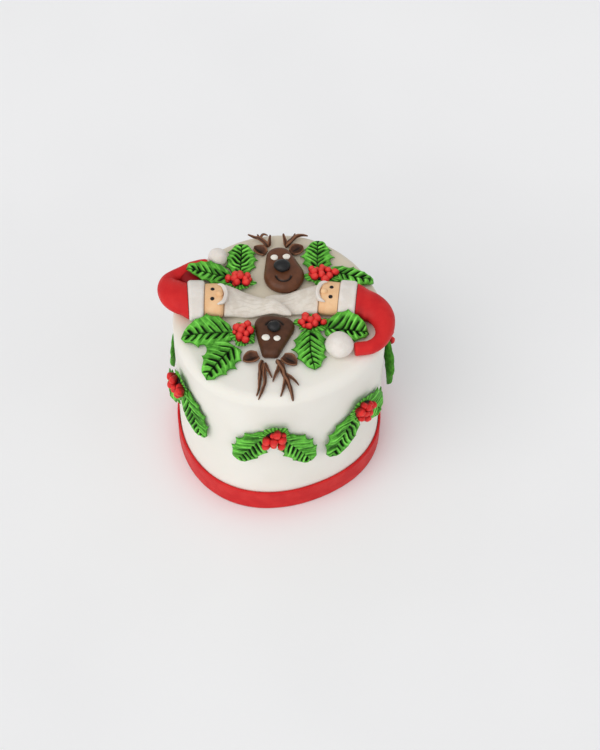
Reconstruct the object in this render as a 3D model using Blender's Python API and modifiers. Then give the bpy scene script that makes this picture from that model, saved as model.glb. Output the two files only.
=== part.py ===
"""A small round Christmas cake, covered and decorated in sugar paste.

The cake stands with the middle of its foot at the origin and its front towards -Y. A red ribbon of
paste goes round the foot, sprigs of holly hang round the side, and on the top lie two reindeer heads,
two bearded heads in red hats whose beards meet in the middle, and four sprigs of holly between them.

Run it with blender --background --python part.py, or from Blender's text editor.
"""

import math
import random

import bmesh
import bpy
from mathutils import Matrix, Vector

MM = 0.001  # every length below is in millimetres, and this turns it into Blender's metres
GAP = 0.3  # what each piece keeps clear of the one that it lies on

# Cake: a tin of six inches, about five inches tall once it is covered
CAKE_HEIGHT = 130.5
FOOT_RADIUS = 73.1
FLARE = 0.034  # share by which the top is wider than the foot
EDGE_ROUND = 8.0  # rounding of the top edge
EDGE_STEPS = 4
DOME = 0.6  # rise of the top's middle
ROUND_STEPS = 48
UNEVEN = ((2, 0.93, 143.0), (3, 1.24, -34.0), (4, 0.93, -83.0))  # lobes, height and bearing in degrees

# Ribbon
RIBBON_FOOT = 0.5
RIBBON_TOP = 19.8
RIBBON_THICK = 1.9
RIBBON_ROUND = 0.7

# Holly leaf: eight steps long, with a tooth at every second one
LEAF_STEPS = 8
LEAF_THICK = 2.3
LEAF_EDGE = 1.3
LEAF_WAVE = 0.9
TOOTH_DEPTH = 0.2
LEAF_SIDE = (-1.0, 0.0, 1.0)

# Berry
BERRY_RADIUS = 2.6
BERRY_ROUND = 6
BERRY_RINGS = 4
GOLDEN_TURN = math.radians(137.5)

# Sprigs round the side: bearing, height of the berries, and for each of the two leaves how much lower it
# hangs, how far its base and its tip stand off the cake, and its lean
SIDE_SPRIGS = (
    (-150.0, 99.8, (10.5, 0.4, 4.0, 2.0), (2.2, 0.4, 2.0, 2.8)),
    (-90.8, 92.6, (1.0, 0.3, 2.0, 0.0), (6.3, 0.3, 2.0, 0.0)),
    (-40.6, 89.0, (6.0, 0.4, 3.0, -2.6), (1.0, 0.4, 1.8, 0.0)),
    (14.0, 89.0, (-3.0, 0.4, 3.6, 4.6), (0.0, 0.4, 2.5, 0.0)),
    (60.6, 92.0, (0.0, 0.4, 2.5, 0.0), (2.0, 0.4, 2.0, 0.0)),
    (106.6, 88.0, (1.0, 0.4, 2.0, 0.0), (0.0, 0.4, 2.5, 0.0)),
    (152.4, 99.0, (5.0, 0.4, 2.5, 0.0), (11.5, 0.4, 2.6, -1.2)),
)
HANG_APART = 5.6  # how far each leaf's base is from the middle of its sprig
HANG_RISE = 2.0  # how far it is above the middle of the berries
HANG_REACH = 20.5
HANG_DROP = 32.6
HANG_WIDTH = 25.0
SIDE_BUNCH = (8.2, 8.8)
SIDE_BERRIES = 7

# Sprigs on the top: two leaves each (base, tip, width, bow, base lift, tip lift, lean) and a bunch
TOP_LEAVES = {
    "holly_back_left_upright": ((-26.9, 34.8), (-26.1, 62.6), 23.4, 0.0, 0.3, 1.2, 0.0),
    "holly_back_left_level": ((-33.0, 31.0), (-62.2, 28.6), 17.4, 0.6, 0.3, 12.0, 5.0),
    "holly_back_right_upright": ((27.4, 38.0), (27.8, 65.8), 22.6, 0.0, 0.3, 1.2, 0.0),
    "holly_back_right_level": ((35.5, 37.8), (66.6, 28.2), 18.0, 0.4, 0.3, 1.2, 0.0),
    "holly_front_left_level": ((-31.5, -19.2), (-66.2, -23.6), 23.5, 1.0, 0.3, 1.4, 8.0),
    "holly_front_left_low": ((-29.2, -30.4), (-48.0, -57.8), 24.4, 1.0, 0.3, 1.0, 6.6),
    "holly_front_right_low": ((22.6, -16.0), (25.2, -50.2), 24.4, 1.6, 0.3, 1.0, 0.0),
    "holly_front_right_level": ((32.5, -14.8), (63.0, -19.0), 20.0, 0.0, 0.3, 1.4, -11.5),
}
TOP_BUNCHES = {
    "berries_back_left": ((-27.6, 26.4), (9.0, 5.2), 9),
    "berries_back_right": ((31.0, 32.4), (10.4, 6.4), 10),
    "berries_front_left": ((-24.0, -21.5), (6.6, 8.0), 8),
    "berries_front_right": ((23.4, -11.0), (9.8, 5.2), 9),
}

# Reindeer: rounded pads whose outline goes round a few discs (x, y, radius). Each antler is strands of paste,
# with a radius and the points that it goes through.
HEAD_HEIGHT = 7.5
HEAD_EDGE = 2.4
DISC_STEPS = 12
EYE_RADIUS = 2.5
NOSE_ROUND = 8
NOSE_RINGS = 5
EAR_STEPS = 5
EAR_THICK = 1.8
EAR_CUP = 2.6
STRAND_SIDES = 6
STRAND_STEP = 0.12  # how much higher each strand of an antler lies than the one before it
REINDEER = {
    "reindeer_back": {
        "discs": ((4.0, 31.3, 14.3), (0.6, 47.6, 9.4)),
        "nose": (2.5, 35.6, 6.0),
        "eyes": ((-2.9, 44.6), (5.6, 45.4)),
        "ears": (((-9.4, 53.6), (-17.4, 60.2), 9.2), ((9.4, 54.6), (17.2, 61.2), 10.6)),
        "lift": 2.2,
        "antlers": (
            (
                (1.7, ((-7.4, 60.0), (-10.4, 64.0), (-13.6, 66.6), (-17.5, 67.8), (-22.2, 70.2))),
                (1.1, ((-11.8, 65.2), (-12.6, 68.4), (-10.8, 70.6), (-7.8, 69.2))),
                (1.0, ((-13.0, 65.6), (-14.2, 68.2), (-15.4, 70.4))),
                (1.5, ((-7.2, 60.2), (-6.7, 64.0), (-6.0, 69.8))),
            ),
            (
                (1.7, ((5.0, 60.0), (8.4, 64.2), (12.2, 68.6), (16.6, 69.9), (21.0, 69.2))),
                (1.1, ((9.6, 65.4), (10.8, 68.4), (11.8, 71.6))),
                (1.5, ((5.2, 60.6), (4.4, 65.5), (3.2, 71.2))),
            ),
        ),
    },
    "reindeer_front": {
        "discs": ((-8.0, -13.8, 8.4), (2.9, -15.2, 8.6), (-8.2, -37.8, 3.0), (-2.0, -38.0, 3.0)),
        "nose": (-2.8, -19.4, 4.8),
        "eyes": ((-8.3, -27.7), (-0.7, -28.3)),
        "ears": (((-13.4, -38.4), (-24.0, -42.6), 10.2), ((3.4, -39.2), (13.2, -45.6), 10.0)),
        "lift": 0.0,
        "antlers": (
            (
                (1.45, ((-10.6, -42.0), (-11.9, -48.0), (-12.2, -54.1), (-12.5, -62.2), (-13.0, -67.5),
                        (-14.3, -71.6))),
                (1.3, ((-9.4, -45.5), (-9.2, -54.1), (-8.7, -60.6), (-10.3, -67.5), (-11.7, -71.0),
                       (-13.1, -74.0))),
                (1.2, ((-9.0, -44.3), (-7.0, -50.0), (-3.8, -56.8))),
            ),
            (
                (1.9, ((-0.9, -42.4), (2.3, -47.8), (4.8, -55.6), (6.6, -59.8), (8.8, -67.4), (9.8, -71.0),
                       (10.6, -74.2))),
                (1.3, ((4.9, -57.0), (4.7, -61.0), (3.8, -66.1), (2.0, -71.8))),
                (1.3, ((1.4, -46.4), (-0.8, -52.8), (-3.3, -60.4))),
                (1.3, ((5.0, -54.2), (9.8, -57.4), (14.4, -63.3))),
            ),
        ),
    },
}

# Bearded heads: each lies along a line from its beard to its hat
ROLL_POINTS = 10
BELLY = 0.42  # share of a roll's height at which it is widest
BRIM_HEIGHT = 14.6
FACE_LENGTH = 13.6
FACE_HALF = 14.0
FACE_HEIGHT = 12.8
BEAD_RADIUS = 1.5
BUTTON_NOSE = 2.5
NOSE_FORWARD = 3.1  # from the chin end of the face
MOUSTACHE = ((4.6, 9.0, 0.5, 11.9), (2.1, 8.2, 1.2, 11.4), (-0.2, 6.0, 1.7, 10.4), (-1.6, 0.0, 1.7, 10.2))
POMPOM_ROUND = 11
POMPOM_RINGS = 7
BEARDED = {
    "left": {
        "brow": (-51.4, 5.8),
        "turn": 180.0,
        "brim_turn": 4.5,
        "brim_length": 11.2,
        "brim_half": 17.3,
        "face_shift": 0.8,
        "bend": ((-69.5, 24.6), 1.2, ((-86.0, 14.6, 13.6), (-114.0, 11.6, 13.0), (-142.0, 8.8, 11.8),
                                      (-180.0, 6.4, 10.2), (-222.0, 5.0, 8.8), (-252.0, 5.1, 8.6))),
        "arm": ((-60.5, 37.4, 5.2, 8.4), (-54.0, 40.2, 4.8, 8.0), (-49.7, 41.3, 4.2, 7.6)),
        "pompom": (-43.0, 45.6, 6.7, 6.7),
        "beard": ((0.0, 1.7, 14.2, 9.4, 0.0), (7.0, 0.8, 12.6, 8.0, 0.0), (16.0, -1.4, 10.9, 6.2, 0.0),
                  (25.0, -2.8, 8.2, 5.0, 1.2), (34.0, -4.0, 6.6, 4.4, 3.6), (41.0, -7.0, 4.9, 3.6, 3.6),
                  (47.0, -10.4, 1.2, 2.0, 3.6)),
    },
    "right": {
        "brow": (42.3, 8.0),
        "turn": -5.5,
        "brim_turn": 0.0,
        "brim_length": 12.0,
        "brim_half": 16.4,
        "face_shift": -0.6,
        "bend": ((57.5, -19.5), 9.6, ((80.0, 12.9, 13.4), (56.0, 11.0, 12.8), (33.0, 9.0, 12.0),
                                      (12.0, 7.2, 11.2), (-14.0, 5.8, 10.4), (-42.0, 5.0, 9.6),
                                      (-72.0, 4.7, 9.0))),
        "arm": ((56.6, -33.8, 4.8, 8.8), (52.5, -34.5, 4.6, 8.6)),
        "pompom": (42.2, -33.4, 9.8, 7.9),
        "beard": ((0.0, 0.0, 13.6, 9.0, 0.0), (7.0, 0.8, 12.4, 7.0, 0.0), (16.0, 2.6, 11.0, 4.0, 0.0),
                  (24.0, 4.2, 9.0, 2.4, 0.0), (32.0, 3.4, 7.0, 2.2, 0.0), (38.0, 2.8, 3.6, 2.0, 0.0)),
    },
}

WHITE = (0.82, 0.78, 0.70)
PALE = (0.80, 0.74, 0.70)
RED = (0.62, 0.03, 0.04)
BERRY_RED = (0.72, 0.03, 0.03)
GREEN = (0.07, 0.33, 0.05)
BROWN = (0.10, 0.045, 0.03)
TAN = (0.72, 0.42, 0.22)
BLACK = (0.01, 0.01, 0.012)


def material(name, colour, roughness):
    """The named material of one colour of sugar paste, made once."""
    found = bpy.data.materials.get(name)
    if found:
        return found
    made = bpy.data.materials.new(name)
    made.use_nodes = True
    shader = made.node_tree.nodes["Principled BSDF"]
    shader.inputs["Base Color"].default_value = (*colour, 1.0)
    shader.inputs["Roughness"].default_value = roughness
    shader.inputs["Metallic"].default_value = 0.0
    return made


def uneven(bearing):
    """How far the hand-smoothed side stands out of a true circle at a bearing."""
    return sum(height * math.cos(lobes * bearing - math.radians(peak)) for lobes, height, peak in UNEVEN)


def side_radius(bearing, height):
    """Radius of the covered cake at a bearing and a height."""
    return FOOT_RADIUS * (1.0 + FLARE * height / CAKE_HEIGHT) + uneven(bearing)


def on_top(x, y, lift):
    """A point laid on the top at x, y: past the rounded edge it is carried on down the side."""
    reach = math.hypot(x, y)
    bearing = math.atan2(y, x)
    rim = side_radius(bearing, CAKE_HEIGHT)
    flat = rim - EDGE_ROUND
    over = reach - flat
    turn = min(max(over / EDGE_ROUND, 0.0), math.pi / 2.0)
    fall = max(over - EDGE_ROUND * math.pi / 2.0, 0.0)
    radius = min(reach, flat) + EDGE_ROUND * math.sin(turn) + lift * math.sin(turn)
    height = CAKE_HEIGHT + EDGE_ROUND * (math.cos(turn) - 1.0) + lift * math.cos(turn) - fall
    height += DOME * max(1.0 - reach / flat, 0.0)
    return Vector((radius * math.cos(bearing), radius * math.sin(bearing), height))


def above_top(x, y, lift):
    """A point over the flat top, not carried down at the edge."""
    return Vector((x, y, CAKE_HEIGHT + DOME + lift))


def on_side(bearing):
    """The placing of points on the side: along it from a bearing, up from the foot, and out."""

    def place(along, up, lift):
        angle = math.radians(bearing) + along / side_radius(math.radians(bearing), up)
        radius = side_radius(angle, up) + lift
        return Vector((radius * math.cos(angle), radius * math.sin(angle), up))

    return place


def new_object(name, mesh, paste, collection):
    """An object in a collection, smooth except over sharp edges."""
    obj = bpy.data.objects.new(name, mesh)
    collection.objects.link(obj)
    mesh.materials.clear()
    mesh.materials.append(paste)
    mesh.shade_smooth()
    mesh.set_sharp_from_angle(angle=math.radians(40.0))
    return obj


def mesh_of(name, bm):
    """The mesh of a closed bmesh, facing out and in metres."""
    bmesh.ops.recalc_face_normals(bm, faces=bm.faces)
    bmesh.ops.triangulate(bm, faces=[face for face in bm.faces if len(face.verts) > 3])
    bmesh.ops.scale(bm, vec=(MM, MM, MM), verts=bm.verts)
    mesh = bpy.data.meshes.new(name)
    bm.to_mesh(mesh)
    bm.free()
    return mesh


def loft(bm, rings):
    """A closed solid through rings of points. Its two halves are split into triangles alike."""
    rows = [[bm.verts.new(point) for point in ring] for ring in rings]
    count = len(rows[0])
    for low, high in zip(rows, rows[1:]):
        for here in range(count):
            there = (here + 1) % count
            if here < count // 2:
                corners = ((low[here], low[there], high[there]), (low[here], high[there], high[here]))
            else:
                corners = ((low[here], low[there], high[here]), (low[there], high[there], high[here]))
            for triangle in corners:
                bm.faces.new(triangle)
    for row in (rows[0], rows[-1]):
        for here in range(count // 2 - 1):
            bm.faces.new((row[here], row[here + 1], row[-here - 2], row[-here - 1]))
    return bm


def keep_largest_shell(mesh):
    """Drops the loose scraps and the sealed pockets that a union can leave."""
    bm = bmesh.new()
    bm.from_mesh(mesh)
    left = set(bm.verts)
    shells = []
    while left:
        shell = {left.pop()}
        edge = list(shell)
        while edge:
            near = {link.other_vert(vert) for vert in edge for link in vert.link_edges} - shell
            shell |= near
            edge = list(near)
        left -= shell
        shells.append(shell)
    shells.sort(key=len)
    for shell in shells[:-1]:
        bmesh.ops.delete(bm, geom=list(shell), context="VERTS")
    bm.to_mesh(mesh)
    bm.free()


def fused(name, meshes, paste, collection):
    """One object from overlapping closed meshes, joined by a Boolean union."""
    helpers = bpy.data.collections.new(name + "_pieces")
    for number, mesh in enumerate(meshes[1:]):
        helpers.objects.link(bpy.data.objects.new(f"{name}_piece_{number}", mesh))
    joined = bpy.data.objects.new(name + "_joined", meshes[0])
    collection.objects.link(joined)
    union = joined.modifiers.new("union", "BOOLEAN")
    union.operation = "UNION"
    union.operand_type = "COLLECTION"
    union.collection = helpers
    graph = bpy.context.evaluated_depsgraph_get()
    mesh = bpy.data.meshes.new_from_object(joined.evaluated_get(graph))
    for helper in [joined, *helpers.objects]:
        bpy.data.objects.remove(helper)
    bpy.data.collections.remove(helpers)
    keep_largest_shell(mesh)
    return new_object(name, mesh, paste, collection)


def catmull(points, steps):
    """Points along a smooth curve through the given ones, with steps points to a stretch."""
    ends = [points[0], *points, points[-1]]
    found = []
    for before, here, there, after in zip(ends, ends[1:], ends[2:], ends[3:]):
        for step in range(steps):
            share = step / steps
            spot = []
            for a, b, c, d in zip(before, here, there, after):
                bend = 2 * a - 5 * b + 4 * c - d + share * (3 * b - a - 3 * c + d)
                spot.append(b + 0.5 * share * (c - a + share * bend))
            found.append(tuple(spot))
    found.append(tuple(points[-1]))
    return found


def roll_section(half, height):
    """Across and up of a soft roll lying on a flat: wide at its belly, with a flat foot."""
    middle = BELLY * height
    rise = height - middle
    foot = math.asin(middle / rise)
    sweep = math.pi + 2.0 * foot
    section = []
    for number in range(ROLL_POINTS):
        angle = math.pi + foot - sweep * number / (ROLL_POINTS - 1)
        section.append((half * math.cos(angle), middle + rise * math.sin(angle)))
    return section


def roll(name, stations, place, paste, collection):
    """A roll through stations of x, y, bearing of its right-hand side, half width, height and lift."""
    rings = []
    for x, y, bearing, half, height, lift in stations:
        side = (math.cos(bearing), math.sin(bearing))
        rings.append([
            place(x + side[0] * across, y + side[1] * across, GAP + lift + up)
            for across, up in roll_section(half, height)
        ])
    return new_object(name, mesh_of(name, loft(bmesh.new(), rings)), paste, collection)


def pad_mesh(name, discs, height, edge, place):
    """A flat pad with rounded edges, whose outline goes round a few discs."""
    bm = bmesh.new()
    for x, y, radius in discs:
        for ring, lift in ((radius - 0.4 * edge, 0.0), (radius, 0.35 * height), (radius, height - edge),
                           (radius - 0.3 * edge, height - 0.3 * edge), (radius - edge, height)):
            for step in range(DISC_STEPS):
                angle = 2.0 * math.pi * step / DISC_STEPS
                bm.verts.new((x + ring * math.cos(angle), y + ring * math.sin(angle), lift))
    hull = bmesh.ops.convex_hull(bm, input=bm.verts)
    bmesh.ops.delete(bm, geom=list(set(hull["geom_interior"] + hull["geom_unused"])), context="VERTS")
    for vert in bm.verts:
        vert.co = place(vert.co.x, vert.co.y, GAP + vert.co.z)
    return mesh_of(name, bm)


def ball_mesh(name, centre, radii, place, around, rings, floor=None, spin=0.0):
    """A ball of paste in a placing. With a floor it is flattened where it rests."""
    bm = bmesh.new()
    bmesh.ops.create_uvsphere(bm, u_segments=around, v_segments=rings, radius=1.0,
                              matrix=Matrix.Rotation(spin, 4, (0.3, 0.2, 1.0)))
    for vert in bm.verts:
        lift = centre[2] + radii[2] * vert.co.z
        if floor is not None:
            lift = max(lift, floor)
        vert.co = place(centre[0] + radii[0] * vert.co.x, centre[1] + radii[1] * vert.co.y, lift)
    return mesh_of(name, bm)


def leaf_mesh(name, base, tip, width, bow, lifts, lean, place):
    """A holly leaf: a thin wavy sheet with a tooth at every second step of each edge."""
    line = Vector(tip) - Vector(base)
    side = Vector((line.y, -line.x)).normalized()
    rings = []
    for step in range(LEAF_STEPS + 1):
        share = step / LEAF_STEPS
        half = 0.5 * width * math.sin(math.pi * (0.07 + 0.86 * share) ** 0.85) ** 0.62
        valley = step % 2
        if valley:
            half *= 1.0 - TOOTH_DEPTH
        middle = Vector(base) + line * share + side * bow * 4.0 * share * (1.0 - share)
        top = []
        bottom = []
        for across in LEAF_SIDE:
            lift = lifts[0] + (lifts[1] - lifts[0]) * share ** 1.5 + GAP
            lift += LEAF_WAVE * abs(across) * (1.0 if valley else 0.25)
            lift += max(lean * across, 0.0) * math.sin(math.pi * share) ** 0.7
            back = 0.10 * width * abs(across) * (1.0 - 0.6 * valley)
            spot = middle + side * half * across - line.normalized() * back * share
            thick = LEAF_THICK + (LEAF_EDGE - LEAF_THICK) * abs(across)
            top.append(place(spot.x, spot.y, lift + thick))
            bottom.append(place(spot.x, spot.y, lift))
        rings.append(top + bottom[::-1])
    return mesh_of(name, loft(bmesh.new(), rings))


def add_leaf(name, base, tip, width, bow, lifts, lean, place, collection):
    """A green holly leaf as an object."""
    mesh = leaf_mesh(name, base, tip, width, bow, lifts, lean, place)
    return new_object(name, mesh, material("leaf_green", GREEN, 0.5), collection)


def add_bunch(name, centre, spread, count, stretch, place, collection, seed):
    """A bunch of berries fused to the core that they are pressed on."""
    draw = random.Random(seed)
    bed = LEAF_THICK + 1.0
    meshes = [ball_mesh(name + "_core", (*centre, bed + BERRY_RADIUS), (spread[0], spread[1], 2.8), place,
                        BERRY_ROUND, BERRY_RINGS, bed + 0.2)]
    for number in range(count):
        reach = math.sqrt((number + 0.35) / count)
        angle = number * GOLDEN_TURN + seed
        radius = BERRY_RADIUS * draw.uniform(0.88, 1.12)
        spot = (
            centre[0] + spread[0] * reach * math.cos(angle),
            centre[1] + spread[1] * reach * math.sin(angle),
            bed + radius * stretch + 2.0 * (1.0 - reach),
        )
        meshes.append(ball_mesh(f"{name}_{number}", spot, (radius, radius, radius * stretch), place,
                                BERRY_ROUND, BERRY_RINGS, spin=draw.uniform(0.2, 3.0)))
    return fused(name, meshes, material("berry_red", BERRY_RED, 0.4), collection)


def make_cake(collection):
    """The covered cake: a turned profile, its side then smoothed by hand."""
    top = FOOT_RADIUS * (1.0 + FLARE)
    flat = top - EDGE_ROUND
    profile = [(0.0, CAKE_HEIGHT + DOME), (0.5 * flat, CAKE_HEIGHT + 0.5 * DOME)]
    for step in range(EDGE_STEPS + 1):
        turn = 0.5 * math.pi * step / EDGE_STEPS
        drop = EDGE_ROUND * (1.0 - math.cos(turn))
        profile.append((flat + EDGE_ROUND * math.sin(turn), CAKE_HEIGHT - drop))
    profile += [(FOOT_RADIUS, 0.0), (0.0, 0.0)]
    mesh = bpy.data.meshes.new("cake_profile")
    mesh.from_pydata([(x, 0.0, z) for x, z in profile], [(n, n + 1) for n in range(len(profile) - 1)], [])
    turned = bpy.data.objects.new("cake_turned", mesh)
    collection.objects.link(turned)
    screw = turned.modifiers.new("turn", "SCREW")
    screw.steps = screw.render_steps = ROUND_STEPS
    screw.use_merge_vertices = True
    screw.merge_threshold = 0.0001
    graph = bpy.context.evaluated_depsgraph_get()
    bm = bmesh.new()
    bm.from_mesh(bpy.data.meshes.new_from_object(turned.evaluated_get(graph)))
    bpy.data.objects.remove(turned)
    for vert in bm.verts:
        reach = math.hypot(vert.co.x, vert.co.y)
        if reach > 0.9 * flat:
            out = 1.0 + uneven(math.atan2(vert.co.y, vert.co.x)) / reach
            vert.co.x *= out
            vert.co.y *= out
    return new_object("cake", mesh_of("cake", bm), material("white_paste", WHITE, 0.5), collection)


def make_ribbon(collection):
    """The red strip of paste round the foot."""
    bm = bmesh.new()
    inner = GAP
    outer = GAP + RIBBON_THICK
    profile = ((inner, RIBBON_TOP), (outer - RIBBON_ROUND, RIBBON_TOP), (outer, RIBBON_TOP - RIBBON_ROUND),
               (outer, RIBBON_FOOT), (inner, RIBBON_FOOT))
    rows = []
    for step in range(ROUND_STEPS):
        angle = 2.0 * math.pi * step / ROUND_STEPS
        row = []
        for out, height in profile:
            radius = side_radius(angle, height) + out
            row.append(bm.verts.new((radius * math.cos(angle), radius * math.sin(angle), height)))
        rows.append(row)
    for number, row in enumerate(rows):
        after = rows[(number + 1) % ROUND_STEPS]
        for here in range(len(row)):
            there = (here + 1) % len(row)
            bm.faces.new((row[here], row[there], after[there], after[here]))
    return new_object("ribbon", mesh_of("ribbon", bm), material("red_paste", RED, 0.5), collection)


def make_side_sprigs(collection):
    """Two hanging leaves and a bunch of berries at each bearing round the side."""
    for number, (bearing, height, *leaves) in enumerate(SIDE_SPRIGS, 1):
        place = on_side(bearing)
        for word, way, (lower, *lifts, lean) in zip(("left", "right"), (-1.0, 1.0), leaves):
            top = height + HANG_RISE - lower
            base = (way * HANG_APART, top)
            tip = (way * (HANG_APART + HANG_REACH), top - HANG_DROP)
            add_leaf(f"side_leaf_{word}_{number}", base, tip, HANG_WIDTH, -way, lifts, lean, place,
                     collection)
        add_bunch(f"side_berries_{number}", (0.0, height), SIDE_BUNCH, SIDE_BERRIES, 1.3, place, collection,
                  number)


def make_top_sprigs(collection):
    """Two leaves and a bunch of berries in each quarter of the top."""
    for name, (base, tip, width, bow, low, high, lean) in TOP_LEAVES.items():
        add_leaf(name, base, tip, width, bow, (low, high), lean, on_top, collection)
    for number, (name, (centre, spread, count)) in enumerate(TOP_BUNCHES.items()):
        add_bunch(name, centre, spread, count, 1.0, on_top, collection, 20 + number)


def make_ear(name, root, tip, width, collection):
    """A cupped ear, pinched at its root."""
    line = Vector(tip) - Vector(root)
    side = Vector((line.y, -line.x)).normalized()
    rings = []
    for step in range(EAR_STEPS + 1):
        share = step / EAR_STEPS
        half = 0.5 * width * math.sin(math.pi * (0.16 + 0.74 * share)) ** 0.7
        middle = Vector(root) + line * share
        top = []
        bottom = []
        for across in LEAF_SIDE:
            spot = middle + side * half * across
            lift = GAP + EAR_CUP * across * across * math.sin(math.pi * (0.2 + 0.7 * share))
            top.append(on_top(spot.x, spot.y, lift + EAR_THICK))
            bottom.append(on_top(spot.x, spot.y, lift))
        rings.append(top + bottom[::-1])
    mesh = mesh_of(name, loft(bmesh.new(), rings))
    return new_object(name, mesh, material("antler_brown", BROWN, 0.5), collection)


def strand_radius(radius, share):
    """Radius of a strand at a share of its length: a little pinched at its root, and thinning to its tip."""
    return radius * min(0.75 + 1.5 * share, 1.0) * (1.0 - 0.74 * share * share)


def strand_mesh(name, points, radius, lift, rise):
    """A strand of paste along points on the top, whose tip may rise off it."""
    place = above_top if rise else on_top
    path = points if len(points) > 3 else catmull(points, 2)
    rings = []
    for number, here in enumerate(path):
        before = path[max(number - 1, 0)]
        after = path[min(number + 1, len(path) - 1)]
        bearing = math.atan2(after[1] - before[1], after[0] - before[0]) - math.pi / 2.0
        share = number / (len(path) - 1)
        thick = strand_radius(radius, share)
        ring = []
        for step in range(STRAND_SIDES):
            angle = math.pi - 2.0 * math.pi * step / STRAND_SIDES
            across = thick * math.cos(angle)
            ring.append(place(here[0] + math.cos(bearing) * across, here[1] + math.sin(bearing) * across,
                              lift + rise * share + thick * (1.0 + math.sin(angle))))
        rings.append(ring)
    return mesh_of(name, loft(bmesh.new(), rings))


def make_reindeer(name, sizes, collection):
    """A reindeer's head seen from the front: pad, nose, two ears and two antlers."""
    brown = material("reindeer_brown", BROWN, 0.45)
    meshes = [pad_mesh(name + "_pad", sizes["discs"], HEAD_HEIGHT, HEAD_EDGE, above_top)]
    for number, (x, y) in enumerate(sizes["eyes"]):
        centre = (x, y, GAP + HEAD_HEIGHT)
        meshes.append(ball_mesh(f"{name}_eye_{number}", centre, (EYE_RADIUS, 0.85 * EYE_RADIUS, 0.9),
                                above_top, BERRY_ROUND, BERRY_RINGS))
    fused(name + "_head", meshes, brown, collection)
    rest = 2.0 * GAP + HEAD_HEIGHT
    x, y, radius = sizes["nose"]
    nose = ball_mesh(name + "_nose", (x, y, rest + 1.8), (radius, 0.9 * radius, 3.2), above_top, NOSE_ROUND,
                     NOSE_RINGS, rest)
    new_object(name + "_nose", nose, material("black_paste", BLACK, 0.35), collection)
    for word, (root, tip, width) in zip(("left", "right"), sizes["ears"]):
        make_ear(f"{name}_ear_{word}", root, tip, width, collection)
    for word, strands in zip(("left", "right"), sizes["antlers"]):
        meshes = []
        for number, (radius, points) in enumerate(strands, 1):
            lift = GAP + STRAND_STEP * number
            meshes.append(strand_mesh(f"{name}_{word}_{number}", points, radius, lift, sizes["lift"]))
        fused(f"{name}_antler_{word}", meshes, material("antler_brown", BROWN, 0.5), collection)


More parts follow.
